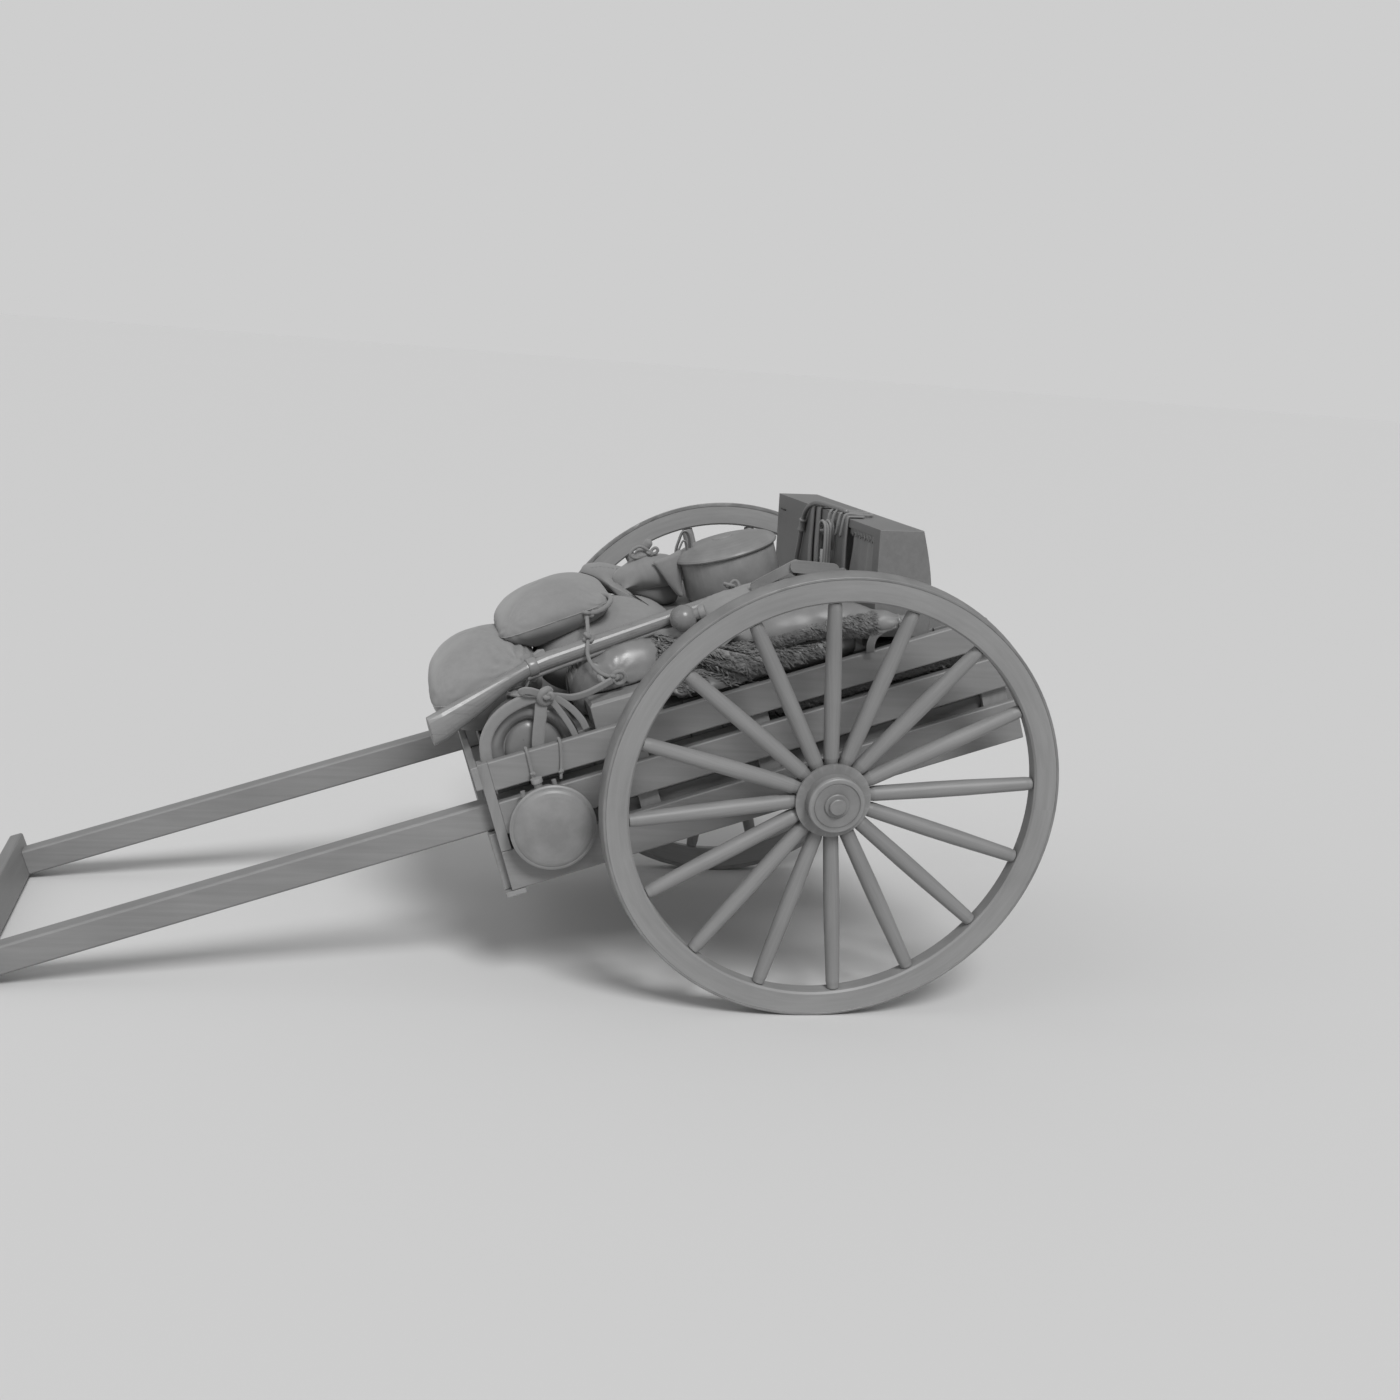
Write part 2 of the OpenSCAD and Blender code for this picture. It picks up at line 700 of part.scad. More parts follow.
module pouch() {
    color(cloth) on_bed() carved() {
        soft("pouch");
        soft("sack_middle", rest_gap);
        soft("sack_side", rest_gap);
        soft("sack_rear", rest_gap);
        soft("sack_top", rest_gap);
        box_form(rest_gap);
        gun_keep();
        pot_keep();
    }
}

module pouch_roll() {
    color(cloth) on_bed() carved() {
        soft("pouch_roll");
        soft("sack_middle", rest_gap);
        soft("sack_side", rest_gap);
        soft("sack_top", rest_gap);
        soft("pouch", rest_gap);
        gun_keep();
        pot_keep();
    }
}

// Room for the lid to lift straight off
module pot_keep() {
    translate([pot_at[0], pot_at[1], box_top]) {
        cylinder(r = pot_r + 1, h = pot_h);
        translate([0, 0, pot_h - 8]) cylinder(r = lid_r + 6, h = 3 * pot_h);
    }
}

module pot() {
    color(tin) on_bed() translate([pot_at[0], pot_at[1], box_top]) rotate_extrude()
        polygon([[0, 0], [pot_r - 14, 0], [pot_r - 4, 4], [pot_r, 14], [pot_r, pot_h],
            [pot_r - pot_wall, pot_h], [pot_r - pot_wall, 14], [pot_r - pot_wall - 10, pot_wall],
            [0, pot_wall]]);
}

// Loose domed lid that lifts off, with a rolled rim and a low broad crown
module pot_lid() {
    rim = lid_r - 2;
    steps = 8;
    color(tin) on_bed() translate([pot_at[0], pot_at[1], box_top + pot_h + fit_gap]) rotate_extrude()
        polygon(concat([[0, 0], [rim, 0], [rim + 2, 4], [rim, 9]],
            [for (i = [1 : steps]) let (a = 90 * i / steps)
                [max(30, (rim - 3) * cos(a)), 9 + (lid_h - 9) * sin(a)]],
            [[27, lid_h + 2], [12, lid_h + 4], [0, lid_h + 4]]));
}

// Loops of rope hung over the trunk's top edge, side by side
module rope_hank() {
    r = 5.5;
    loops = [[0, 86], [15, 74], [30, 92], [45, 66]];
    wide = 11;
    color(hide) on_bed() at_trunk() for (row = loops)
        translate([trunk_d + r + rest_gap, 36 + 2 * row[0], trunk_h - row[1] - 24])
            rotate([90, 0, 90]) {
                translate([0, row[1], 0]) rotate_extrude(angle = 180, $fn = 24)
                    translate([wide, 0]) circle(r);
                translate([0, -row[1], 0]) rotate([0, 0, 180]) rotate_extrude(angle = 180, $fn = 24)
                    translate([wide, 0]) circle(r);
                for (side = [-1, 1]) translate([side * wide, row[1], 0]) rotate([90, 0, 0])
                    cylinder(r = r, h = 2 * row[1], $fn = 24);
            }
}

// Long gun: its own frame has x from the lock to the muzzle and z up
module on_gun() {
    translate(gun_at) rotate([0, gun_rise, 180 + gun_turn]) children();
}

module gun_station(row, grow) {
    translate([row[0], 0, row[1]]) rotate([0, 90, 0]) scale([row[3] + grow, row[2] + grow, 1])
        cylinder(r = 1, h = 0.5, $fn = 20);
}

// The stock's body, hulled from one station to the next, in the bed's frame
module gun_form(grow = 0) {
    resize([0, 0, 0]) on_gun() for (i = [0 : len(GUN) - 2])
        hull() {
            gun_station(GUN[i], grow);
            gun_station(GUN[i + 1], grow);
        }
}

module gun_stock() {
    color(wood) on_bed() carved() {
        gun_form();
        barrel_form(fit_gap);
    }
}

// The barrel, half sunk in the stock's under side as the gun lies, in the bed's frame
module barrel_form(grow = 0) {
    r = 10;
    last = GUN[len(GUN) - 1];
    back = -55 * k;
    long = last[0] + 20 - back;
    low = GUN[4][1] - GUN[4][3] + 1;
    lift = asin((last[1] - last[3] + 1 - low) / long);
    on_gun() translate([back, 0, low]) rotate([0, 90 - lift, 0])
        translate([0, 0, -grow]) cylinder(r = r + grow, h = long + 2 * grow, $fn = 24);
}

module gun_barrel() {
    color(iron) on_bed() barrel_form();
}

// Room kept for the gun, in the bed's frame
module gun_keep() {
    gun_form(rest_gap);
    barrel_form(rest_gap);
}

// Round tin canteen hung flat against the left side, with its spout and two lugs
module canteen() {
    t = canteen_t;
    r = canteen_r;
    color(tin) on_bed() translate([canteen_at[0], board_v + rest_gap, canteen_at[1]])
        rotate([-90, 0, 0]) {
            rotate_extrude() polygon(concat([[0, 0], [r - 30, 0], [r - 12, 4], [r - 5, 12],
                [r - 4, t - 28], [r, t - 26], [r, t - 20], [r - 4, t - 17], [r - 9, t - 16]],
                [for (i = [1 : 7]) let (a = 90 * i / 8)
                    [(r - 10) * cos(a), t - 16 + 16 * sin(a)]], [[8, t], [0, t]]));
            translate([8, -r + 8, sling_s]) rotate([90, 0, 0]) cylinder(r = 11, h = 22);
            translate([8, -r - 9, sling_s]) rotate([90, 0, 0]) cylinder(r = 15, h = 12);
            for (d = [-34, 50])
                translate([d, -sqrt(r * r - d * d) + 8, sling_s]) rotate([90, 0, 0])
                    cylinder(r = 6, h = 18);
        }
}

module canteen_slings() {
    r = 3.5;
    top = side_top + r + rest_gap;
    color(hide) on_bed() for (d = [-50, 34]) {
        v = board_v + rest_gap + sling_s;
        foot = canteen_at[1] + sqrt(canteen_r * canteen_r - d * d) + 10 + rest_gap;
        translate([canteen_at[0] + d, v, foot]) cylinder(r = r, h = top - foot, $fn = 24);
        translate([canteen_at[0] + d, post_v - 10, top]) rotate([-90, 0, 0])
            cylinder(r = r, h = v - post_v + 10, $fn = 24);
    }
}

// Room kept for the left side posts, in the bed's frame
module post_keep() {
    translate([bed_rear, shaft_half - rest_gap, 0]) cube([bed_l, post_t, side_top - 4 + rest_gap]);
}

module hide_lower() {
    color(hide) on_bed() carved() {
        soft("hide_lower");
        post_keep();
        gourd_form(rest_gap);
        tool_form(STAVE, 34, 9, rest_gap);
        soft("sack_side", rest_gap);
        soft("sack_rear", rest_gap);
        small_crate_form(rest_gap);
    }
}

module hide_upper() {
    color(hide) on_bed() carved() {
        soft("hide_upper");
        post_keep();
        tool_form(STAVE, 34, 9, rest_gap);
        tool_form(BAR, 26, 8, rest_gap);
        soft("hide_lower", rest_gap);
        soft("sack_rear", rest_gap);
        trunk_keep();
    }
}

// Room kept for the trunk, its batten and its straps, in the bed's frame
module trunk_keep() {
    back = trunk_foot + trunk_bulge + 1;
    at_trunk() translate([-back, -trunk_l / 2 - 1, -60])
        cube([trunk_d + back + 13, trunk_l + 2, trunk_h + 61]);
}

// A bar of round-ended lengths from point to point, in the bed's frame
module tool_form(points, wide, thick, grow = 0) {
    resize([0, 0, 0]) for (i = [0 : len(points) - 2]) hull() for (p = [points[i], points[i + 1]])
        translate([trunk_at + p[0], p[1], load_u + p[2]]) rotate([90, 0, 0])
            cylinder(d = wide + 2 * grow, h = thick + 2 * grow, center = true, $fn = 24);
}

module tool_bar() {
    color(iron) on_bed() tool_form(BAR, 26, 8);
}

// Stick and flat stave lying beside the bar
module sticks() {
    color(wood) on_bed() {
        tool_form(STICK, 16, 16);
        tool_form(STAVE, 34, 9);
    }
}

// Round gourd flask with a short neck, in the bed's frame
module gourd_form(grow = 0) {
    translate(gourd_at) {
        sphere(r = 36 + grow, $fn = 32);
        rotate([0, -84, -14]) {
            cylinder(r = 15 + grow, h = 46, $fn = 32);
            translate([0, 0, 46 - grow]) cylinder(r = 18 + grow, h = 16 + 2 * grow, $fn = 32);
        }
    }
}

module gourd() {
    color(hide) on_bed() gourd_form();
}

axle();
tyre(1);  // wheel_left_tyre
felloe(1);  // wheel_left_felloe
spokes(1);  // wheel_left_spokes
hub(1);  // wheel_left_hub
hub_cap(1);  // wheel_left_cap
tyre(-1);  // wheel_right_tyre
felloe(-1);  // wheel_right_felloe
spokes(-1);  // wheel_right_spokes
hub(-1);  // wheel_right_hub
hub_cap(-1);  // wheel_right_cap
sills();
floor_planks();  // floor
shaft(1);  // shaft_left
shaft(-1);  // shaft_right
crossbar();
side_boards(1);  // side_boards_left
side_boards(-1);  // side_boards_right
side_posts(1);  // side_posts_left
side_posts(-1);  // side_posts_right
front_boards();
corner_posts();
tailboard();
bed_crate(2);  // crate_front
bed_crate(1);  // crate_middle
bed_crate(0);  // crate_rear_box
stowed_box();
small_crate();
trunk();
trunk_straps();
trunk_batten();
sack_front();
sack_top();
sack_middle();
sack_side();
sack_rear();
bedroll();
bedroll_straps();
pouch();
pouch_roll();
pot();
pot_lid();
rope_hank();
gun_stock();
gun_barrel();
canteen();
canteen_slings();
hide_lower();
hide_upper();
tool_bar();
sticks();
gourd();
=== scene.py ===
"""Looks of the supply cart: weathered timber, iron, canvas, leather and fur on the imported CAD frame."""
import bisect
import itertools
import json
import math
import random

import bpy
from mathutils import Matrix, Vector, noise
from mathutils.bvhtree import BVHTree


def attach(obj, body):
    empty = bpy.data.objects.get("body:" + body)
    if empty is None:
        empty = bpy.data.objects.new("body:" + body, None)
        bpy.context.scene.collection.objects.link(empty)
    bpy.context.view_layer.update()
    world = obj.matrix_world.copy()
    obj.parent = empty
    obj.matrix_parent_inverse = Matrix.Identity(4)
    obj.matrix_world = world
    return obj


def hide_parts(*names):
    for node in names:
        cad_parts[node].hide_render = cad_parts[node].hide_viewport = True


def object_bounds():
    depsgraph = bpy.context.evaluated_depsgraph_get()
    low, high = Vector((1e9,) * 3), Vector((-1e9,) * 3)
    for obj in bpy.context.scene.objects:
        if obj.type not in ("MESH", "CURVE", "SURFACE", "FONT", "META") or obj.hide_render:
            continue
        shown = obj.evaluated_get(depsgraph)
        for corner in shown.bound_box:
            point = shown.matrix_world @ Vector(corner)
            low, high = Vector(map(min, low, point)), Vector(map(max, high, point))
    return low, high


MM = 0.001
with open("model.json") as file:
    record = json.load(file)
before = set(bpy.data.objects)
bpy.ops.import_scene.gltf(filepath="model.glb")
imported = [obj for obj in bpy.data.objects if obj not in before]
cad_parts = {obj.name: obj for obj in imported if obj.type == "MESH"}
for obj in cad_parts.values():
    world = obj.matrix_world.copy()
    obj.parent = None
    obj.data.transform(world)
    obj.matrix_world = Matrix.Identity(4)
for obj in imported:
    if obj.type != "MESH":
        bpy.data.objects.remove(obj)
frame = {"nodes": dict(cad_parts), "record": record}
cad_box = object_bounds()
NODES = frame["nodes"]
JOINTS = {j["name"]: j for j in frame["record"]["behaviour"]["joints"]}

# The bed's frame, read from the joints: the lid lifts square to the bed, and the wheels turn on
# its axle. Places below are (forward, left, up) in millimetres from the middle of the axle.
LEFT = Vector((0, 1, 0))
UP = Vector(JOINTS["pot_lid_lift"]["axis"]).normalized()
FORWARD = LEFT.cross(UP)
WHEEL = Vector(JOINTS["wheel_left_spin"]["pos_m"])
AXLE_LEFT = Vector(JOINTS["wheel_left_spin"]["axis"]).normalized()
AXLE_RIGHT = Vector(JOINTS["wheel_right_spin"]["axis"]).normalized()
ORIGIN = Vector((WHEEL.x, 0, WHEEL.z))
PARK_TILT = math.atan2(UP.x, UP.z)
BED_TURN = (0.0, PARK_TILT, 0.0)


def bed(f, v, u):
    return ORIGIN + (FORWARD * f + LEFT * v + UP * u) * MM


def along(f, v, u):
    return (FORWARD * f + LEFT * v + UP * u).normalized()


def to_bed(p):
    d = (p - ORIGIN) / MM
    return Vector((d.dot(FORWARD), d.dot(LEFT), d.dot(UP)))


# Camera and light

IMAGE_PX = 1400
FOCAL_PX = 1800
SENSOR_MM = 36
PHOTO_TILT = math.radians(13.75)
PHOTO_YAW = math.radians(11.66)
PHOTO_PITCH = math.radians(12.96)
PHOTO_EYE = (887.2, 4940.0, 1537.4)


def make_camera():
    """The photograph's camera, carried round with the cart from the photograph's tilt to the parked one."""
    cam = bpy.data.objects.new("camera", bpy.data.cameras.new("camera"))
    cam.data.sensor_width = SENSOR_MM
    cam.data.lens = FOCAL_PX / IMAGE_PX * SENSOR_MM
    look = Vector((-math.sin(PHOTO_YAW) * math.cos(PHOTO_PITCH),
                   -math.cos(PHOTO_YAW) * math.cos(PHOTO_PITCH), -math.sin(PHOTO_PITCH)))
    right = look.cross(Vector((0, 0, 1))).normalized()
    turn = Matrix.Rotation(PARK_TILT - PHOTO_TILT, 3, "Y")
    axes = Matrix((turn @ right, turn @ right.cross(look), turn @ -look)).transposed()
    cam.matrix_world = Matrix.Translation(bed(*PHOTO_EYE)) @ axes.to_4x4()
    bpy.context.scene.collection.objects.link(cam)
    bpy.context.scene.camera = cam


def sun(name, heading, height, strength, softness):
    """A far soft lamp, by its compass heading from +X towards +Y and its height, in degrees."""
    light = bpy.data.lights.new(name, "SUN")
    light.energy = strength
    light.angle = math.radians(softness)
    obj = bpy.data.objects.new(name, light)
    a, h = math.radians(heading), math.radians(height)
    toward = Vector((math.cos(a) * math.cos(h), math.sin(a) * math.cos(h), math.sin(h)))
    obj.rotation_euler = toward.to_track_quat("Z", "Y").to_euler()
    bpy.context.scene.collection.objects.link(obj)


# Each lamp's name, heading and height in degrees, strength, and softness in degrees
LAMPS = (("key", 96, 47, 2.35, 20), ("fill", 20, 34, 0.55, 60))
AMBIENT_GREY, AMBIENT_STRENGTH = 0.9, 0.42
BACKDROP_GREY = 0.617
FLOOR_GREY, FLOOR_ROUGH = 0.6, 0.85
FLOOR_HALF, FLOOR_DROP = 60, 0.0005


def flat_grey(grey):
    return grey, grey, grey, 1


def make_studio():
    for lamp in LAMPS:
        sun(*lamp)
    world = bpy.data.worlds.new("studio")
    bpy.context.scene.world = world
    world.use_nodes = True
    tree = world.node_tree
    light = tree.nodes["Background"]
    light.inputs["Color"].default_value = flat_grey(AMBIENT_GREY)
    light.inputs["Strength"].default_value = AMBIENT_STRENGTH
    shown = tree.nodes.new("ShaderNodeBackground")
    shown.inputs["Color"].default_value = flat_grey(BACKDROP_GREY)
    path = tree.nodes.new("ShaderNodeLightPath")
    mix = tree.nodes.new("ShaderNodeMixShader")
    tree.links.new(path.outputs["Is Camera Ray"], mix.inputs[0])
    tree.links.new(light.outputs[0], mix.inputs[1])
    tree.links.new(shown.outputs[0], mix.inputs[2])
    tree.links.new(mix.outputs[0], tree.nodes["World Output"].inputs["Surface"])
    mesh = bpy.data.meshes.new("floor")
    h = FLOOR_HALF
    mesh.from_pydata([(-h, -h, 0), (h, -h, 0), (h, h, 0), (-h, h, 0)], [], [(0, 1, 2, 3)])
    floor = bpy.data.objects.new("floor", mesh)
    floor.location.z = cad_box[0][2] - FLOOR_DROP
    mesh.materials.append(plain("pale_floor", FLOOR_GREY, FLOOR_ROUGH))
    bpy.context.scene.collection.objects.link(floor)
    bpy.context.scene.view_settings.view_transform = "Standard"


# Materials: neutral greys, as in the photograph, each with its own grain, weave or wear

def plain(name, grey, rough):
    mat = bpy.data.materials.new(name)
    mat.use_nodes = True
    shader = mat.node_tree.nodes["Principled BSDF"]
    shader.inputs["Base Color"].default_value = flat_grey(grey)
    shader.inputs["Roughness"].default_value = rough
    return mat


class Painter:
    """Adds nodes to one material by short calls."""

    def __init__(self, name, rough, specular=0.5):
        self.mat = bpy.data.materials.new(name)
        self.mat.use_nodes = True
        self.tree = self.mat.node_tree
        self.shader = self.tree.nodes["Principled BSDF"]
        self.shader.inputs["Roughness"].default_value = rough
        self.shader.inputs["Specular IOR Level"].default_value = specular

    def add(self, kind, **inputs):
        node = self.tree.nodes.new(kind)
        for key, value in inputs.items():
            self.put(node, key.replace("_", " "), value)
        return node

    def put(self, node, key, value):
        socket = node.inputs[int(key)] if key.isdigit() else node.inputs[key]
        if isinstance(value, bpy.types.NodeSocket):
            self.tree.links.new(value, socket)
        else:
            socket.default_value = value

    def math(self, operation, a, b=0.0):
        node = self.tree.nodes.new("ShaderNodeMath")
        node.operation = operation
        self.put(node, "0", a)
        self.put(node, "1", b)
        return node.outputs[0]

    def blend(self, a, share, b, rest):
        """Two values added, each times its own share."""
        return self.math("ADD", self.math("MULTIPLY", a, share), self.math("MULTIPLY", b, rest))

    def gloss(self, value, spread, rough):
        """Roughness that varies by spread about rough."""
        return self.math("ADD", self.math("MULTIPLY", value, spread), rough - spread / 2)

    def place(self):
        return self.add("ShaderNodeTexCoord").outputs["Object"]

    def mapped(self, scale=(1, 1, 1), turn=(0, 0, 0)):
        return self.add("ShaderNodeMapping", Vector=self.place(), Rotation=turn, Scale=scale).outputs[0]

    def noise(self, vector, scale, detail=4.0, rough=0.55, distort=0.0):
        return self.add("ShaderNodeTexNoise", Vector=vector, Scale=scale, Detail=detail,
                        Roughness=rough, Distortion=distort).outputs["Fac"]

    def ramp(self, value, low, high, greys):
        node = self.add("ShaderNodeValToRGB", Fac=value)
        ends = node.color_ramp.elements
        ends[0].position, ends[1].position = low, high
        for end, grey in zip(ends, greys):
            end.color = flat_grey(grey)
        return node.outputs["Color"]

    def edge_wear(self, colour, amount):
        """Paler along worn edges, from the geometry's own pointiness."""
        worn = self.ramp(self.add("ShaderNodeNewGeometry").outputs["Pointiness"], 0.53, 0.62, (0, amount))
        mix = self.tree.nodes.new("ShaderNodeMix")
        mix.data_type = "RGBA"
        mix.blend_type = "ADD"
        self.put(mix, "0", 1.0)
        self.tree.links.new(colour, mix.inputs[6])
        self.tree.links.new(worn, mix.inputs[7])
        return mix.outputs[2]

    def finish(self, colour, height=None, bump=0.2, depth=0.001, rough=None):
        self.put(self.shader, "Base Color", colour)
        if rough is not None:
            self.put(self.shader, "Roughness", rough)
        if height is not None:
            node = self.add("ShaderNodeBump", Strength=bump, Distance=depth, Height=height)
            self.put(self.shader, "Normal", node.outputs[0])
        return self.mat


def timber(name, grey, stretch=None, vector=None, rough=0.5):
    """Weathered smooth timber: long grain, fine pores and faint stains."""
    p = Painter(name, rough)
    grain_at = vector(p) if vector else p.mapped(stretch, BED_TURN)
    grain = p.noise(grain_at, 1.0, 6.0, 0.62, 0.4)
    stain = p.noise(p.mapped(), 3.0, 3.0)
    colour = p.ramp(p.blend(grain, 0.55, stain, 0.45), 0.36, 0.66, (grey * 0.86, grey * 1.1))
    return p.finish(p.edge_wear(colour, grey * 0.22), grain, 0.16, 0.0012, p.gloss(grain, 0.22, rough))


def polar(centre, axle, around, across, deep=60.0):
    """Grain that runs round a wheel, or out along its spokes, by scales round, across and along its axis."""
    side = axle.cross(Vector((0, 0, 1))).normalized()
    high = side.cross(axle)

    def build(p):
        def dot(axis):
            node = p.tree.nodes.new("ShaderNodeVectorMath")
            node.operation = "DOT_PRODUCT"
            p.tree.links.new(shifted, node.inputs[0])
            node.inputs[1].default_value = axis
            return node.outputs["Value"]
        move = p.tree.nodes.new("ShaderNodeVectorMath")
        move.operation = "SUBTRACT"
        p.tree.links.new(p.place(), move.inputs[0])
        move.inputs[1].default_value = centre
        shifted = move.outputs[0]
        x, y, z = dot(side), dot(high), dot(axle)
        radius = p.math("SQRT", p.math("ADD", p.math("MULTIPLY", x, x), p.math("MULTIPLY", y, y)))
        angle = p.math("ARCTAN2", y, x)
        join = p.add("ShaderNodeCombineXYZ", X=p.math("MULTIPLY", angle, around),
                     Y=p.math("MULTIPLY", radius, across), Z=p.math("MULTIPLY", z, deep))
        return join.outputs[0]
    return build


def iron(name, grey, rough, metallic):
    """Dull worn metal: clouded, with fine pits."""
    p = Painter(name, rough)
    p.shader.inputs["Metallic"].default_value = metallic
    cloud = p.noise(p.mapped(), 14.0, 5.0)
    pits = p.noise(p.mapped(), 160.0, 3.0)
    colour = p.ramp(cloud, 0.35, 0.7, (grey * 0.84, grey * 1.12))
    return p.finish(p.edge_wear(colour, grey * 0.35), pits, 0.1, 0.0006, p.gloss(cloud, 0.3, rough))


def canvas(name, grey, thread=900.0, rough=0.86):
    """Plain-woven canvas: two crossed thread waves, slubs, and dust in the folds."""
    p = Painter(name, rough, 0.25)
    p.shader.inputs["Sheen Weight"].default_value = 0.25
    p.shader.inputs["Sheen Roughness"].default_value = 0.6
    at = p.add("ShaderNodeSeparateXYZ", Vector=p.mapped(turn=BED_TURN))
    warp = p.math("SINE", p.math("MULTIPLY", p.math("ADD", at.outputs[0], at.outputs[2]), thread))
    weft = p.math("SINE", p.math("MULTIPLY", p.math("SUBTRACT", at.outputs[1], at.outputs[2]), thread))
    weave = p.math("MULTIPLY", warp, weft)
    slub = p.noise(p.mapped(), 60.0, 4.0)
    dust = p.noise(p.mapped(), 6.0, 4.0)
    colour = p.ramp(p.blend(dust, 0.7, slub, 0.3), 0.35, 0.68, (grey * 0.88, grey * 1.08))
    height = p.math("ADD", p.math("MULTIPLY", weave, 0.25), slub)
    return p.finish(p.edge_wear(colour, grey * 0.1), height, 0.22, 0.0008)


def leather(name, grey, rough=0.38):
    """Smooth worn leather: fine pebbled grain and rubbed, glossier swells."""
    p = Painter(name, rough)
    cells = p.add("ShaderNodeTexVoronoi", Vector=p.mapped(), Scale=420.0).outputs["Distance"]
    rub = p.noise(p.mapped(), 9.0, 5.0)
    colour = p.ramp(rub, 0.34, 0.7, (grey * 0.84, grey * 1.12))
    return p.finish(p.edge_wear(colour, grey * 0.22), cells, 0.16, 0.0006, p.gloss(rub, 0.28, rough))


def fur(name, grey):
    """Short matted fur: fine streaks over clumps."""
    p = Painter(name, 0.8, 0.3)
    p.shader.inputs["Sheen Weight"].default_value = 0.35
    strands = p.noise(p.mapped((80, 70, 210)), 1.0, 5.0, 0.6, 1.2)
    clump = p.noise(p.mapped(), 70.0, 4.0)
    coat = p.blend(strands, 0.55, clump, 0.45)
    return p.finish(p.ramp(coat, 0.38, 0.64, (grey * 0.5, grey * 1.25)), coat, 0.8, 0.006)


# Mesh helpers

def add_mesh(name, verts, faces, material, smooth=True):
    mesh = bpy.data.meshes.new(name)
    mesh.from_pydata([tuple(v) for v in verts], [], faces)
    mesh.validate()
    mesh.update()
    mesh.materials.append(material)
    for poly in mesh.polygons:
        poly.use_smooth = smooth
    obj = bpy.data.objects.new(name, mesh)
    bpy.context.scene.collection.objects.link(obj)
    return obj


def fair(points, steps):
    """A Catmull-Rom line through given points, with steps short legs between each two."""
    pts = [Vector(p) for p in points]
    pts = [pts[0] * 2 - pts[1]] + pts + [pts[-1] * 2 - pts[-2]]
    out = []
    for a, b, c, d in zip(pts, pts[1:], pts[2:], pts[3:]):
        for i in range(steps):
            t = i / steps
            out.append(0.5 * (2 * b + (c - a) * t + (2 * a - 5 * b + 4 * c - d) * t * t
                              + (3 * b - a - 3 * c + d) * t ** 3))
    return out + [pts[-2]]


def bed_line(points, steps):
    return fair([bed(*p) for p in points], steps)


def angles(count):
    """The directions of count points round a ring, the first again at the end."""
    return [2 * math.pi * i / count for i in range(count + 1)]


def grid(rows, cols):
    """The faces of a sheet with rows by cols cells."""
    n = cols + 1
    return [(i * n + j, i * n + j + 1, (i + 1) * n + j + 1, (i + 1) * n + j)
            for i in range(rows) for j in range(cols)]


def carry(path, side):
    """A frame at each point of a path: its direction, and side carried along without twisting."""
    rows = []
    side = Vector(side)
    for i, p in enumerate(path):
        ahead = (path[min(i + 1, len(path) - 1)] - path[max(i - 1, 0)]).normalized()
        side = (side - ahead * side.dot(ahead)).normalized()
        rows.append((p, ahead, side, ahead.cross(side)))
    return rows


def loft(name, rings, material, smooth=True):
    """A closed skin over rings of equal length, capped at both ends."""
    n = len(rings[0])
    verts = [p for ring in rings for p in ring]
    faces = [(i * n + j, i * n + (j + 1) % n, (i + 1) * n + (j + 1) % n, (i + 1) * n + j)
             for i in range(len(rings) - 1) for j in range(n)]
    faces.append(tuple(reversed(range(n))))
    faces.append(tuple(range(len(verts) - n, len(verts))))
    return add_mesh(name, verts, faces, material, smooth)


def tube(name, path, radius, material, side=(0, 0, 1), sides=12, strands=0, lay=0.0):
    """A round cord along a path; with strands, laid rope whose strands turn once in lay metres."""
    rings = []
    run = 0.0
    last = path[0]
    for p, ahead, a, b in carry(path, side):
        run += (p - last).length
        last = p
        twist = 2 * math.pi * run / lay if lay else 0.0
        ring = []
        for t in angles(sides)[:-1]:
            r = radius * (0.86 + 0.14 * abs(math.cos((t - twist) * strands / 2))) if strands else radius
            ring.append(p + (a * math.cos(t) + b * math.sin(t)) * r)
        rings.append(ring)
    return loft(name, rings, material)


def band(name, path, side, width, thick, material):
    """A flat strap along a path, side across its width, with softly rounded edges."""
    outline = [(0.5, -0.2), (0.5, 0.2), (0.46, 0.45), (0.3, 0.5), (-0.3, 0.5), (-0.46, 0.45),
               (-0.5, 0.2), (-0.5, -0.2), (-0.46, -0.45), (-0.3, -0.5), (0.3, -0.5), (0.46, -0.45)]
    rings = [[p + a * (x * width) + b * (y * thick) for x, y in outline]
             for p, ahead, a, b in carry(path, side)]
    return loft(name, rings, material)


def tree_of(obj):
    """A search tree of a piece's surface."""
    mesh = obj.data
    return BVHTree.FromPolygons([v.co for v in mesh.vertices], [tuple(p.vertices) for p in mesh.polygons])


def ride(obj, slot, *nodes):
    """Fixes a piece to the cart's body, in place of any CAD nodes named; its material slot is not used."""
    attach(obj, "cart")
    if nodes:
        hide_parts(*nodes)
    return obj


def evaluated(obj):
    bpy.context.view_layer.update()
    return bpy.data.meshes.new_from_object(obj.evaluated_get(bpy.context.evaluated_depsgraph_get()))


def baked(obj):
    """Replaces an object's mesh by what its modifiers make of it."""
    mesh = evaluated(obj)
    obj.modifiers.clear()
    obj.data = mesh
    return obj


def softened(obj, rounds):
    """Evens out small dents by averaging each point with its neighbours."""
    relax = obj.modifiers.new("relax", "SMOOTH")
    relax.factor = 0.5
    relax.iterations = rounds
    return baked(obj)


SKIN_RULES = {"quality": 4, "mass": 0.25, "tension_stiffness": 12, "compression_stiffness": 12,
              "bending_stiffness": 0.4, "uniform_pressure_force": 4.0}
SACK_RULES = {"quality": 5, "mass": 0.3, "tension_stiffness": 12, "compression_stiffness": 12,
              "shear_stiffness": 4, "bending_stiffness": 0.6, "uniform_pressure_force": 2.5}


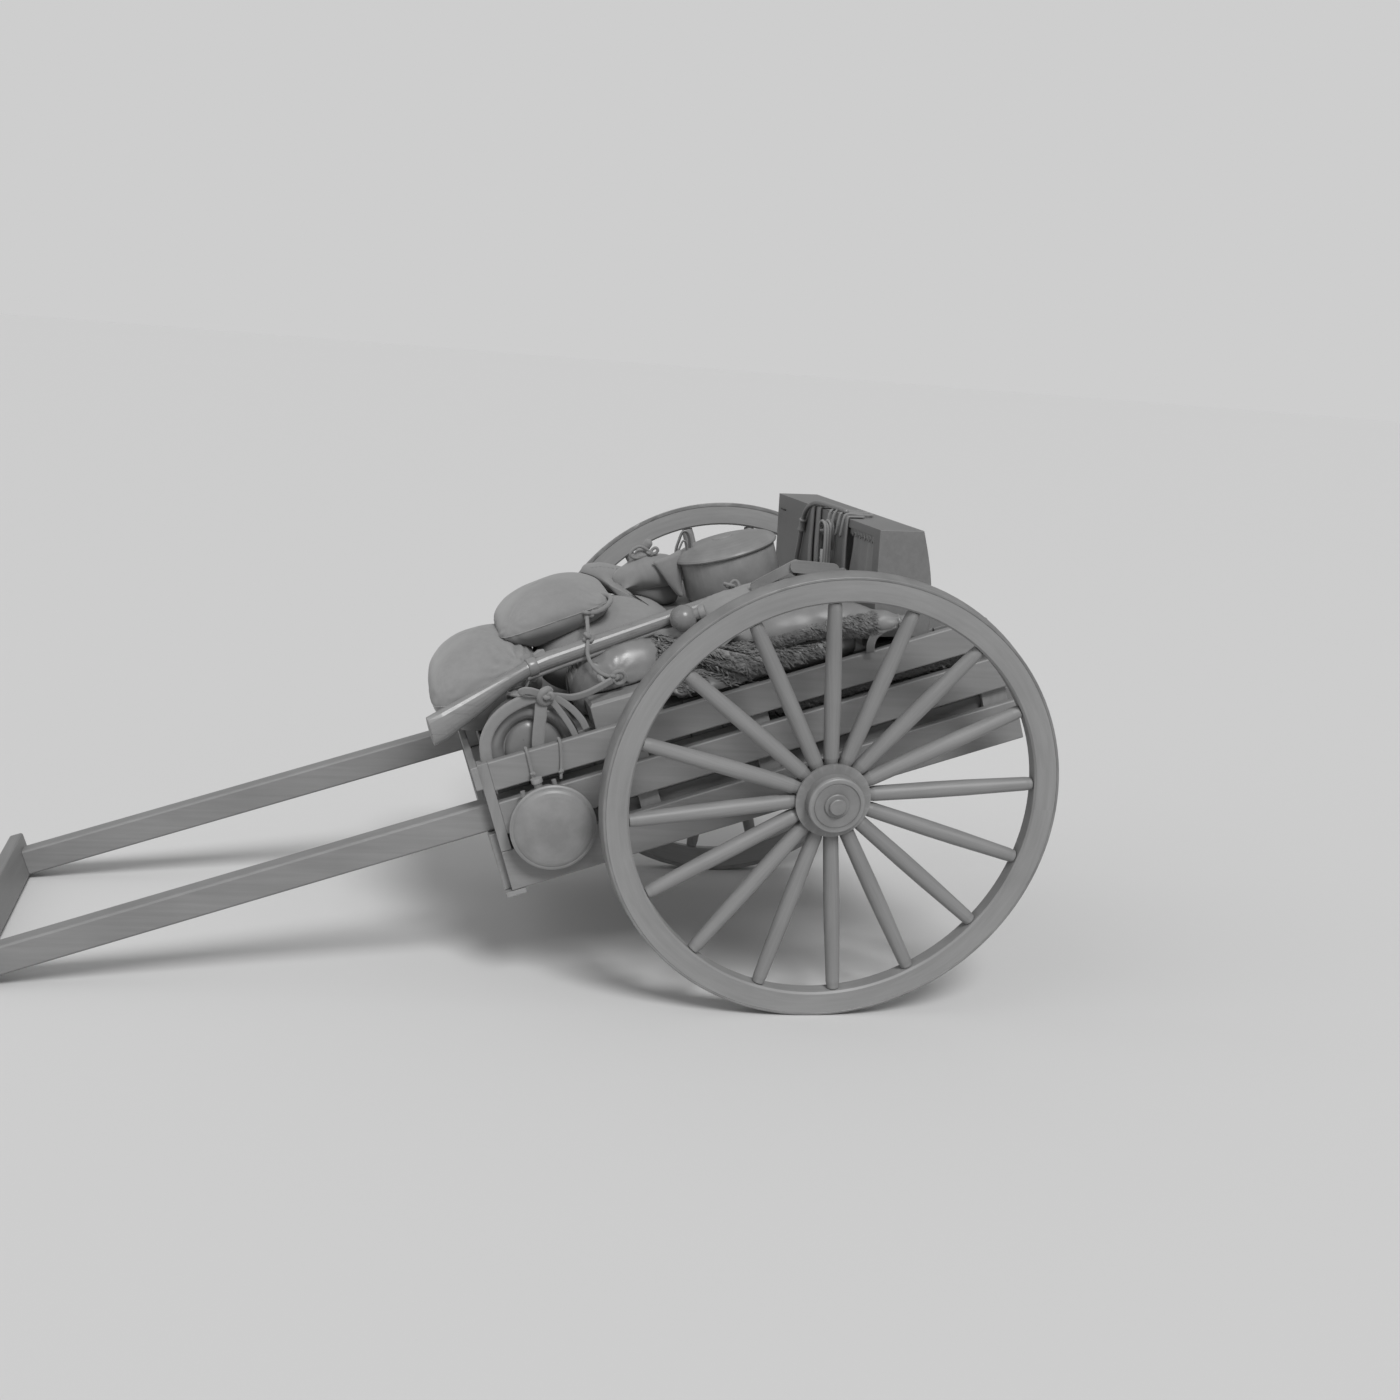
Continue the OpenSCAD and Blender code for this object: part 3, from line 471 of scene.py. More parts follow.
def inflated(obj, rules, steps, swell):
    """Cloth simulation with air inside and no weight; each point ends swell metres from its start at most."""
    start = [v.co.copy() for v in obj.data.vertices]
    cloth = obj.modifiers.new("cloth", "CLOTH")
    for rule, value in rules.items():
        setattr(cloth.settings, rule, value)
    cloth.settings.use_pressure = True
    cloth.settings.effector_weights.gravity = 0
    scene = bpy.context.scene
    for step in range(1, steps + 1):
        scene.frame_set(step)
    baked(obj)
    scene.frame_set(1)
    for v, p in zip(obj.data.vertices, start):
        move = v.co - p
        if move.length > swell:
            v.co = p + move * (swell / move.length)


def stuffed(name, node, material, voxel, swell=0.012, shrink=0.004):
    """Cloth blown up on a CAD node's form: remeshed, shrunk, and inflated by simulation."""
    source = NODES[node]
    mesh = source.data.copy()
    mesh.transform(source.matrix_world)
    obj = bpy.data.objects.new(name, mesh)
    bpy.context.scene.collection.objects.link(obj)
    mesh.materials.clear()
    remesh = obj.modifiers.new("remesh", "REMESH")
    remesh.mode = "VOXEL"
    remesh.voxel_size = voxel
    softened(obj, 6)
    start = [v.co - v.normal * shrink for v in obj.data.vertices]
    for v, p in zip(obj.data.vertices, start):
        v.co = p
    inflated(obj, SKIN_RULES, 14, swell)
    obj.data.materials.append(material)
    for poly in obj.data.polygons:
        poly.use_smooth = True
    return obj


def pressed(obj, deform):
    """Moves each point along its normal by deform(place in the bed, in mm), given in mm."""
    mesh = obj.data
    mesh.update()
    normals = [v.normal.copy() for v in mesh.vertices]
    for v, n in zip(mesh.vertices, normals):
        v.co += n * (deform(to_bed(v.co)) * MM)
    mesh.update()
    return obj


def pleats(at, axis, count, depth, reach, wander=0.6):
    """Folds that fan out from a gathered point at (f, v, u), fading over reach millimetres."""
    at = Vector(at)
    axis = Vector(axis).normalized()
    side = axis.orthogonal().normalized()
    high = axis.cross(side)

    def height(p):
        d = p - at
        flat = d - axis * d.dot(axis)
        r = d.length
        if r > 2.6 * reach:
            return 0.0
        angle = math.atan2(flat.dot(high), flat.dot(side))
        shake = wander * noise.noise(p * 0.012)
        fold = abs(math.sin(count * 0.5 * (angle + shake))) ** 0.7
        return depth * (fold - 0.62) * math.exp(-(r / reach) ** 2) * min(1.0, r / 18)
    return height


def ripples(depth, size, seed):
    """Slack cloth: long low folds, stretched along the sack's length."""
    shift = Vector((seed * 31.7, seed * 17.3, seed * 5.1))

    def height(p):
        q = Vector((p.x * 0.7, p.y, p.z * 1.3)) / size + shift
        return depth * (1 - 2 * abs(noise.noise(q) + 0.35 * noise.noise(q * 2.3)))
    return height


def total(*parts):
    return lambda p: sum(part(p) for part in parts)


make_camera()
make_studio()

# Timber, iron and tin on the CAD nodes

# Grain is drawn out along the bed, across it or up it
GRAIN_ALONG, GRAIN_ACROSS, GRAIN_UP = (3, 70, 70), (70, 3, 70), (70, 70, 3)
WOOD_GREY, DARK_GREY, WHEEL_GREY = 0.2, 0.16, 0.205
wood_along = timber("wood_along", WOOD_GREY, GRAIN_ALONG)
wood_across = timber("wood_across", WOOD_GREY, GRAIN_ACROSS)
wood_up = timber("wood_up", WOOD_GREY, GRAIN_UP)
dark_along = timber("dark_along", DARK_GREY, GRAIN_ALONG)
dark_up = timber("dark_up", DARK_GREY, GRAIN_UP)
floor_planks = timber("floor_planks", DARK_GREY, GRAIN_ACROSS)
trunk_skin = timber("trunk_skin", 0.155, GRAIN_ACROSS, rough=0.55)
gun_wood = timber("gun_wood", WOOD_GREY, (3, 80, 80), rough=0.3)
worn_iron = iron("worn_iron", 0.2, 0.45, 0.1)
tin = iron("tin", 0.205, 0.4, 0.0)
sack_cloth = canvas("sack_cloth", 0.215)
bag_cloth = canvas("bag_cloth", 0.2, 1300)
strap_leather = leather("strap_leather", 0.18)
bag_leather = leather("bag_leather", 0.185, 0.3)
hide_leather = leather("hide_leather", 0.175, 0.44)
hemp = canvas("hemp", 0.19, 1800)
woven_strap = canvas("woven_strap", 0.2, 1100, 0.6)
pelt = fur("pelt", 0.165)

WHEELS = (("left", WHEEL, AXLE_LEFT), ("right", Vector(JOINTS["wheel_right_spin"]["pos_m"]), AXLE_RIGHT))


def dress(node, material, bevel=0.0, angle=40):
    """Gives a CAD node its material, and eased edges by modifiers alone."""
    obj = NODES[node]
    obj.data.materials.clear()
    obj.data.materials.append(material)
    if bevel:
        weld = obj.modifiers.new("weld", "WELD")
        weld.merge_threshold = 0.00005
        ease = obj.modifiers.new("ease", "BEVEL")
        ease.width = bevel
        ease.segments = 2
        ease.limit_method = "ANGLE"
        ease.angle_limit = math.radians(angle)
        ease.harden_normals = True


def dress_wheels():
    for side, centre, axle in WHEELS:
        round_grain = timber(f"felloe_grain_{side}", WHEEL_GREY, vector=polar(centre, axle, 4.0, 90.0))
        spoke_grain = timber(f"spoke_grain_{side}", WHEEL_GREY, vector=polar(centre, axle, 60.0, 4.0))
        dress(f"wheel_{side}_felloe", round_grain)
        dress(f"wheel_{side}_spokes", spoke_grain)
        dress(f"wheel_{side}_tyre", worn_iron, 0.002)
        dress(f"wheel_{side}_hub", worn_iron)
        dress(f"wheel_{side}_cap", worn_iron)


# Each material with the width of the eased edges in metres, and the nodes that have both
DRESSED = (
    (wood_along, 0.002, "shaft_left shaft_right side_boards_left side_boards_right sticks"),
    (wood_across, 0.0025, "crossbar front_boards tailboard"),
    (wood_up, 0.0015, "side_posts_left side_posts_right corner_posts"),
    (dark_along, 0.002, "sills"),
    (dark_along, 0.0, "trunk_batten"),
    (dark_up, 0.0015, "crate_front crate_middle crate_rear_box stowed_box"),
    (floor_planks, 0.0015, "floor"),
    (trunk_skin, 0.003, "trunk"),
    (gun_wood, 0.0, "gun_stock"),
    (worn_iron, 0.0, "gun_barrel axle"),
    (worn_iron, 0.001, "tool_bar"),
    (tin, 0.001, "pot"),
    (tin, 0.0, "pot_lid canteen"),
    (bag_leather, 0.0, "gourd"),
)


def dress_body():
    for material, bevel, nodes in DRESSED:
        for node in nodes.split():
            dress(node, material, bevel)
    dress("small_crate", wood_along, 0.002, 20)


dress_wheels()
dress_body()

# Soft goods: modelled full, blown up by simulation, laid in the bed, and pushed clear of what they touch


def walls(*things):
    """Search trees of CAD nodes, given by name, or of pieces already made."""
    return [tree_of(NODES[thing] if isinstance(thing, str) else thing) for thing in things]


# How far off a neighbour is looked for, in metres, and the cosine past which a point is inside it
NEAR, INSIDE = 0.3, -0.3


def cleared(obj, trees, gap=0.0015, rounds=3):
    """Moves points that lie inside a neighbour out to its surface, and eases the dent round them."""
    mesh = obj.data
    around = [[] for v in mesh.vertices]
    for edge in mesh.edges:
        a, b = edge.vertices
        around[a].append(b)
        around[b].append(a)
    for turn in range(rounds):
        moved = set()
        for v in mesh.vertices:
            for tree in trees:
                at, normal, index, far = tree.find_nearest(v.co, NEAR)
                if at is None:
                    continue
                d = v.co - at
                if d.dot(normal) < INSIDE * d.length:
                    v.co = at + normal * gap
                    moved.add(v.index)
        if turn == rounds - 1:
            break
        ring = set(moved)
        for i in moved:
            ring.update(around[i])
        eased = {i: sum((mesh.vertices[j].co for j in around[i]), Vector()) / len(around[i])
                 for i in ring}
        for i, p in eased.items():
            mesh.vertices[i].co = mesh.vertices[i].co.lerp(p, 0.5)
    mesh.update()
    return obj


# The points of each sack's sewn rim, by the sack's name
RIMS = {}


def power(x, e):
    return math.copysign(abs(x) ** e, x)


def pillow(name, size, material, plan, side, peak=(0.0, 0.0), ears=0.06, around=128, rows=48):
    """A full sack about its own middle, x along it: round in section, blunt at its corners, with the two
    halves sewn together at half height and its top drawn towards peak."""
    half = [s / 2 for s in size]
    rings = []
    for i in range(rows + 1):
        tilt = math.pi * (i / rows - 0.5)
        flat, rise = power(math.cos(tilt), side), power(math.sin(tilt), side)
        ring = []
        for a in angles(around)[:-1]:
            x, y = power(math.cos(a), plan), power(math.sin(a), plan)
            corner = abs(math.sin(2 * a)) ** 3 * flat ** 4
            grow = flat * (1 + ears * corner)
            lean = max(0.0, rise) ** 2
            ring.append(Vector((half[0] * (x * grow + peak[0] * lean), half[1] * (y * grow + peak[1] * lean),
                                half[2] * rise)))
        rings.append(ring)
    obj = loft(name, rings[1:-1], material)
    middle = (rows // 2 - 1) * around
    RIMS[name] = [middle + j for j in range(around)] + [middle]
    return obj


def laid(obj, at, turn, foot, lean=0.0, roll=0.0):
    """Turns a sack, flattens its foot below the height foot, and sets it down at (f, v, u)."""
    spin = (Matrix.Rotation(math.radians(turn), 3, "Z") @ Matrix.Rotation(math.radians(lean), 3, "Y")
            @ Matrix.Rotation(math.radians(roll), 3, "X"))
    for v in obj.data.vertices:
        q = spin @ v.co + Vector(at)
        if q.z < foot:
            q.z = foot + (foot - q.z) * -0.02
        v.co = bed(*q)
    obj.data.update()
    return obj


def seen(obj, place):
    """Where the camera's line of sight to (f, v, u) first meets a piece, in the bed; or the place itself."""
    eye = bed(*PHOTO_EYE)
    hit = tree_of(obj).ray_cast(eye, (bed(*place) - eye).normalized())[0]
    return to_bed(hit) if hit is not None else Vector(place)


def blown(obj):
    """Lets air fill out a sack by simulation."""
    inflated(obj, SACK_RULES, 8, 0.01)
    obj.data.update()
    softened(obj, 2)


CRATE_TOP = 288.3
RIGID = ("gun_stock", "gun_barrel", "front_boards", "corner_posts", "small_crate", "stowed_box", "pot",
         "pot_lid", "trunk", "tool_bar", "sticks", "gourd", "crate_front", "crate_middle", "crate_rear_box",
         "side_posts_left", "side_boards_left", "shaft_left")


def keep_soft(obj, slot, fill, *nodes, trees=(), fine=True):
    cleared(obj, walls(*RIGID) + list(trees))
    if fine:
        obj.modifiers.new("fine", "SUBSURF").render_levels = 1
    ride(obj, slot, *nodes)
    return obj


def make_sacks():
    """Five sacks, from the lowest up; each is cleared of the ones made before it."""
    front = pillow("sack_front_cloth", (456, 304, 266), sack_cloth, 0.66, 0.98, (0.0, 0.12), 0.1)
    laid(front, (752, 76, 424), 88, CRATE_TOP)
    blown(front)
    pinch = seen(front, (655, 300, 478))
    pressed(front, total(pleats(pinch, (-0.35, 1, 0.1), 13, 22, 105), ripples(2.0, 150, 1.0),
                         pleats(seen(front, (872, 240, 440)), (0.6, 0.6, -0.4), 9, 9, 60)))
    keep_soft(front, "cloth", 0.75, "sack_front")
    side = softened(stuffed("sack_side_skin", "sack_side", bag_leather, 0.007), 8)
    pressed(side, total(pleats((428, 384, 396), (0.3, 1, 0), 11, 4, 44, 0.2), ripples(1.5, 190, 4.0)))
    keep_soft(softened(side, 2), "hide", 0.9, "sack_side", trees=walls(front))
    middle = pillow("sack_middle_cloth", (470, 404, 258), sack_cloth, 0.8, 0.92)
    laid(middle, (402, 10, 410), 84, CRATE_TOP, -9)
    blown(middle)
    pressed(middle, pleats(seen(middle, (450, 190, 515)), (0.4, 0.8, 0.4), 15, 5, 110))
    keep_soft(middle, "cloth", 0.8, "sack_middle", trees=walls(front, side))
    top = pillow("sack_top_cloth", (356, 322, 170), sack_cloth, 0.52, 1.12)
    laid(top, (524, 56, 552), 88, 468, 0, 4)
    blown(top)
    pressed(top, total(pleats(seen(top, (388, 222, 562)), (-0.7, 0.7, 0), 11, 7, 60),
                       pleats(seen(top, (650, 200, 565)), (0.7, 0.7, 0), 9, 5, 60), ripples(1.8, 140, 2.0)))
    keep_soft(top, "cloth", 0.85, "sack_top", trees=walls(front, middle, side))
    rear = stuffed("sack_rear_cloth", "sack_rear", sack_cloth, 0.008)
    keep_soft(pressed(rear, ripples(4, 100, 5.0)), "cloth", 0.7, "sack_rear", trees=walls(side, middle))
    for sack in (front, middle, top):
        seam = [sack.data.vertices[i].co.copy() for i in RIMS[sack.name]]
        ride(tube(f"{sack.name}_seam", seam, 1.7 * MM, sack_cloth, sides=6), "cloth")
    return front, middle, side, top, rear


SACKS = make_sacks()

# Hides: rolled pelts, smooth leather on one side and combed fur on the other


def rolled(name, points, radii, material, flat=1.0, steps=7, sides=36, lobe=0.0):
    """A soft roll along a line, with its own radius at each given point and rounded ends."""
    path = bed_line(points, steps)
    sizes = [v.x for v in fair([(r, 0, 0) for r in radii], steps)]
    rings = []
    for (p, ahead, side, high), r in zip(carry(path, UP), sizes):
        ring = []
        for a in angles(sides)[:-1]:
            swell = r * MM * (1 + lobe * math.cos(3 * a + 1.0))
            ring.append(p + side * (math.cos(a) * swell * flat) + high * (math.sin(a) * swell))
        rings.append(ring)
    return loft(name, rings, material)


FUR_LENGTH, FUR_WIDTH = 24, 5
FUR_COMB = along(-0.6, 0.25, -0.75)


def tufts(name, base, count, keep, seed):
    """Fur: flat tapered blades rooted on a piece where keep(place) holds, combed one way."""
    rand = random.Random(seed)
    noise.seed_set(seed)  # unseeded, noise_vector's offsets come from the clock
    mesh = base.data
    mesh.calc_loop_triangles()
    spots = []
    for tri in mesh.loop_triangles:
        a, b, c = (mesh.vertices[i].co for i in tri.vertices)
        if keep(to_bed((a + b + c) / 3)):
            spots.append((tri.area, a, b, c, tri.normal.copy()))
    areas = list(itertools.accumulate(s[0] for s in spots))
    verts, faces = [], []
    for k in range(count):
        area, a, b, c, n = spots[bisect.bisect(areas, rand.random() * areas[-1])]
        s, t = rand.random(), rand.random()
        if s + t > 1:
            s, t = 1 - s, 1 - t
        root = a + (b - a) * s + (c - a) * t
        clump = noise.noise_vector(root * 55)
        way = FUR_COMB + Vector(clump) * 0.7 + Vector((rand.uniform(-0.2, 0.2) for i in range(3)))
        way = (way - n * way.dot(n)).normalized()
        side = n.cross(way) * (FUR_WIDTH * MM / 2)
        reach = FUR_LENGTH * MM * rand.uniform(0.6, 1.1)
        mid = root + way * (reach * 0.5) + n * (reach * 0.3)
        tip = root + way * reach + n * (reach * rand.uniform(0.1, 0.4))
        i = len(verts)
        verts += [root - side, root + side, mid + side * 0.8, mid - side * 0.8, tip]
        faces += [(i, i + 1, i + 2, i + 3), (i + 3, i + 2, i + 4)]
    return ride(add_mesh(name, verts, faces, pelt), "hide")


def twine(name, path, radius, lay, material, *nodes):
    """A three-strand cord, its strands turning once in lay metres."""
    return ride(tube(name, path, radius, material, strands=3, lay=lay), "hide", *nodes)


def make_hides():
    sacks = walls(*SACKS)
    lower = rolled("hide_lower_roll",
                   ((300, 418, 330), (280, 420, 336), (180, 424, 340), (60, 424, 338), (-80, 424, 334),
                    (-190, 422, 330), (-206, 422, 328)),
                   (12, 34, 42, 43, 40, 34, 10), hide_leather, 0.95, lobe=0.05)
    pressed(lower, total(ripples(4, 70, 8.0), ripples(2, 26, 8.5)))
    keep_soft(lower, "hide", 0.6, "hide_lower", trees=sacks, fine=False)
    upper = rolled("hide_upper_roll",
                   ((36, 424, 404), (20, 426, 408), (-40, 430, 416), (-125, 434, 408), (-190, 452, 394),
                    (-236, 494, 380), (-282, 512, 372), (-312, 516, 364), (-340, 518, 352), (-344, 518, 350)),
                   (10, 34, 44, 46, 43, 33, 25, 14, 24, 6), hide_leather, lobe=0.04)
    pressed(upper, total(ripples(4, 70, 9.0), pleats((-312, 516, 364), (1, -0.3, 0.2), 9, 5, 36)))
    keep_soft(upper, "hide", 0.6, "hide_upper", trees=sacks + walls(lower), fine=False)
    tufts("hide_upper_fur", upper, 6000,
          lambda p: p.z < 412 - 0.16 * (p.x + 125) ** 2 / 600 and p.x > -240, 11)
    tufts("hide_lower_fur", lower, 7000, lambda p: p.z > 330 and p.x > -120, 12)
    tie = [bed(-312 + 3 * math.cos(a), 516 + 17 * math.cos(a), 364 + 17 * math.sin(a)) for a in angles(24)]
    twine("hide_tie", tie, 5 * MM, 0.02, strap_leather)
    strap = bed_line(((-296, 534, 366), (-262, 532, 362), (-236, 530, 350), (-222, 528, 330),
                      (-218, 522, 308)), 6)
    ride(band("hide_strap", strap, UP, 22 * MM, 5 * MM, strap_leather), "hide")
    under = rolled("pelt_under_load",
                   ((60, 436, 226), (40, 436, 232), (-120, 436, 236), (-300, 436, 236), (-470, 436, 232),
                    (-488, 436, 226)), (10, 34, 38, 38, 36, 10), pelt)
    pressed(under, ripples(4, 60, 13.0))
    keep_soft(under, "hide", 0.5, fine=False)
    tufts("pelt_under_fur", under, 6000, lambda p: p.y > 436, 13)


make_hides()

# Pouch with its gathered neck, flap and carrying loop, and the stitched roll behind it

NECK_F, NECK_V = 237, 4


def make_pouches():
    sacks = walls(*SACKS)
    roll = rolled("pouch_roll_canvas",
                  ((406, -48, 612), (398, -46, 608), (364, -40, 590), (308, -32, 558), (254, -28, 530),
                   (199, -26, 502), (164, -26, 488), (156, -26, 485)),
                  (8, 24, 37, 41, 42, 40, 28, 8), bag_cloth, sides=44)
    pressed(roll, ripples(1.5, 80, 7.0))
    keep_soft(roll, "cloth", 0.6, "pouch_roll", trees=sacks, fine=False)
    body = rolled("pouch_canvas",
                  ((333, 6, 564), (325, 6, 565), (299, 6, 568), (253, 4, 570), (209, 2, 566), (175, 0, 558),
                   (153, -2, 548), (145, -2, 544)),
                  (8, 22, 34, 42, 46, 44, 32, 10), bag_cloth, sides=48)
    pressed(body, total(pleats((NECK_F, NECK_V, 612), (0, 0, 1), 11, 7, 48), ripples(2, 70, 6.0)))
    for v in body.data.vertices:
        p = to_bed(v.co)
        r = math.hypot(p.x - NECK_F, p.y - NECK_V)
        lift = 30 * math.exp(-(r / 24) ** 2) if p.z > 580 else 0.0
        v.co += UP * (lift * MM)
    body.data.update()
    keep_soft(body, "cloth", 0.6, "pouch", trees=sacks + walls(roll))
    return roll


ROLL_CANVAS = make_pouches()


def knot(name, at, size, thick, material, turn=0.0, lean=0.0):
    """An overhand knot: a cord wound on a trefoil line."""
    spin = Matrix.Rotation(turn, 3, "Z") @ Matrix.Rotation(lean, 3, "X")
    path = []
    for t in angles(60):
        q = Vector((math.sin(t) + 2 * math.sin(2 * t), math.cos(t) - 2 * math.cos(2 * t),
                    -1.4 * math.sin(3 * t)))
        q = spin @ (q * (size / 6.0))
        path.append(bed(at[0] + q.x, at[1] + q.z, at[2] + q.y))
    return twine(name, path, thick * MM / 2, thick * MM * 3, material)


def stitches(name, path, pitch, length, thick, material):
    """A row of short sewn stitches along a line on top of a piece, each sunk at both ends."""
    verts, faces = [], []
    run = 0.0
    for a, b in zip(path, path[1:]):
        run += (b - a).length
        if run < pitch:
            continue
        run = 0.0
        way = (b - a).normalized()
        side = UP.cross(way)
        base = len(verts)
        for s, h in ((-0.5, -0.2), (-0.25, 0.7), (0.25, 0.7), (0.5, -0.2)):
            for w in (-0.5, 0.5):
                verts.append(b + way * (s * length) + UP * (h * thick) + side * (w * thick))
        for i in range(3):
            k = base + 2 * i
            faces.append((k, k + 1, k + 3, k + 2))
    return ride(add_mesh(name, verts, faces, material), "cloth")


# A height over all of the load
ABOVE = 900.0


def draped(obj, points, lift):
    """A line over a piece: points (f, v) laid on its upper surface, lift millimetres clear."""
    tree = tree_of(obj)
    hits = [(f, v, tree.ray_cast(bed(f, v, ABOVE), -UP)[0]) for f, v in points]
    return [bed(f, v, to_bed(hit).z + lift) for f, v, hit in hits if hit is not None]


TIE_LAY = 0.022
FLAP_COLS = 8


def dress_pouch():
    """The tie round the neck with its two bows, the gathered tip, the flap, and the carrying loop."""
    tie = [bed(NECK_F + 22 * math.cos(a), NECK_V + 22 * math.sin(a), 622 + 2 * math.sin(2 * a))
           for a in angles(28)]
    twine("pouch_tie", tie, 5 * MM, TIE_LAY, hemp)
    bows = (("left", ((229, 26, 621), (255, 26, 621), (269, 28, 633), (257, 30, 647), (237, 30, 650),
                      (219, 26, 635), (215, 22, 625))),
            ("right", ((215, 24, 623), (204, 24, 632), (194, 26, 634), (190, 26, 626), (198, 24, 619),
                       (210, 24, 620))))
    for name, points in bows:
        twine(f"pouch_bow_{name}", bed_line(points, 7), 4.5 * MM, TIE_LAY, hemp)
    knot("pouch_tie_knot", (215, 24, 623), 15, 9, hemp, 0.4, 0.9)
    tip = rolled("pouch_tip", ((229, 4, 627), (223, 5, 635), (213, 7, 645), (205, 8, 652), (200, 9, 656)),
                 (9, 11, 12, 11, 3), bag_cloth, sides=24)
    ride(pressed(tip, pleats((217, 6, 639), (-0.6, 0, 0.7), 9, 2, 20)), "cloth")
    left = fair(((215, 50, 602), (200, 58, 565), (184, 60, 526), (166, 58, 492)), 4)
    right = fair(((131, 42, 614), (144, 56, 555), (154, 58, 520), (158, 58, 488)), 4)
    verts = []
    for p, q in zip(left, right):
        for j in range(FLAP_COLS + 1):
            belly = Vector((0, 9 * math.sin(math.pi * j / FLAP_COLS), 0))
            verts.append(bed(*(p.lerp(q, j / FLAP_COLS) + belly)))
    flap = add_mesh("pouch_flap", verts, grid(len(left) - 1, FLAP_COLS), bag_cloth)
    flap.modifiers.new("thick", "SOLIDIFY").thickness = 4 * MM
    ride(flap, "cloth")
    across = along(0.5, 0.85, 0.1)
    arch = bed_line(((144, 26, 600), (138, 28, 618), (127, 30, 636), (112, 30, 656), (99, 30, 654),
                     (95, 28, 632), (100, 26, 604)), 6)
    ride(band("pouch_loop", arch, across, 15 * MM, 5 * MM, strap_leather), "hide")
    inner = bed_line(((150, 36, 602), (134, 38, 614), (117, 38, 634), (109, 38, 626), (112, 36, 602)), 6)
    ride(band("pouch_loop_tail", inner, across, 12 * MM, 4 * MM, strap_leather), "hide")


dress_pouch()
seam_line = draped(ROLL_CANVAS, [(388 - 5.6 * i, -18 + 0.5 * i) for i in range(38)], 0.3)
stitches("pouch_roll_seam", seam_line, 7 * MM, 5.5 * MM, 1.8 * MM, hemp)

# Bedroll: a thick blanket folded over, its near end showing one broad outer turn and a low inner core

ROLL_AT = (688.0, 288.3)
ROLL_R, ROLL_H = 124.0, 130.0
ROLL_V = (337.0, 467.0)


def make_bedroll():
    """Half of a wound blanket: rings of points from its far end, over the outer turn, to the inner one."""
    arcs = 64
    far, near = ROLL_V
    stations = [(0.5, far + 1), (0.88, far + 3), (1.0, far + 20), (1.0, near - 40)]
    for i in range(1, 12):
        t = math.pi * i / 12
        stations.append((0.81 + 0.19 * math.cos(t), near - 40 + 31 * math.sin(t)))
    stations += [(0.615, near - 37), (0.60, near - 29), (0.55, near - 22), (0.45, near - 17),
                 (0.3, near - 15), (0.02, near - 14)]
    rings = []
    for share, v in stations:
        ring = []
        for j in range(arcs + 1):
            a = math.pi * j / arcs
            dip = 1 - 0.10 * math.exp(-((a - 1.95) / 0.22) ** 2)
            aside = 14 * max(0.0, 0.6 - share) / 0.6
            ring.append(bed(ROLL_AT[0] + aside + ROLL_R * share * math.cos(a) * dip, v,
                            ROLL_AT[1] + ROLL_H * share * math.sin(a) * dip))
        rings.append(ring)
    roll = loft("bedroll_blanket", rings, bag_leather)
    pressed(roll, ripples(1.5, 110, 10.0))
    ride(roll, "cloth", "bedroll")


make_bedroll()

# Each strap's name, width, thickness, direction across it, and line from the bow knot outwards
STRAPS = (
    ("left", 30, 15, along(-0.1, 0, 1),
     ((630, 470, 424), (662, 472, 428), (700, 473, 424), (740, 474, 412), (775, 476, 390),
      (802, 478, 356), (812, 480, 318), (813, 480, 292))),
    ("middle", 32, 6, FORWARD,
     ((632, 472, 420), (642, 475, 404), (652, 478, 376), (666, 479, 340), (676, 479, 310),
      (679, 479, 292))),
    ("right", 16, 6, along(1, 0, -0.4),
     ((624, 472, 420), (612, 474, 402), (598, 477, 370), (584, 479, 328), (577, 479, 294))),
    ("back", 26, 6, FORWARD,
     ((636, 466, 428), (652, 450, 429), (674, 420, 428), (694, 380, 427), (704, 344, 424),
      (706, 332, 400), (706, 332, 330))),
    ("neck", 18, 9, along(-0.3, 0.2, 1),
     ((622, 470, 422), (596, 466, 412), (560, 456, 396), (520, 440, 391), (480, 424, 394),
      (446, 408, 398))),
    ("loose", 18, 5, along(1, 0, -0.4),
     ((620, 468, 420), (596, 470, 404), (570, 470, 372), (552, 470, 336), (546, 470, 308))),
)


def make_straps():
    """Woven straps from the bow knot over the bedroll and to the bag's neck."""
    parts = []
    for name, width, thick, across, points in STRAPS:
        path = bed_line(points, 8)
        parts.append(band(f"bedroll_strap_{name}", path, across, width * MM, thick * MM, woven_strap))
    loop = bed_line(((626, 478, 426), (642, 488, 438), (658, 494, 450), (674, 494, 456), (684, 488, 452),
                     (676, 482, 440), (656, 480, 432), (636, 478, 426)), 7)
    parts.append(band("bedroll_bow", loop, along(-0.5, 0.25, 0.8), 20 * MM, 5 * MM, woven_strap))
    wrap = bed_line(((612, 470, 432), (617, 484, 440), (632, 490, 438), (641, 484, 422), (630, 478, 408),
                     (616, 476, 414)), 6)
    parts.append(tube("bedroll_bow_wrap", wrap, 10 * MM, woven_strap))
    for obj in parts:
        ride(obj, "hide")
    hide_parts("bedroll_straps")
    knot("bedroll_knot", (620, 486, 424), 24, 13, woven_strap, 0.3, 1.2)


make_straps()

# Canteen slings, ropes and ties: cords of their real length


# Lengths of its own diameter in which a cord's strands turn once
CORD_LAY = 3.2


def make_cord(name, path, diameter, *nodes, far_end="object", lay="taut"):
    """A hemp cord along a line of its real length."""
    obj = twine(name, path, diameter * MM / 2, diameter * MM * CORD_LAY, hemp, *nodes)


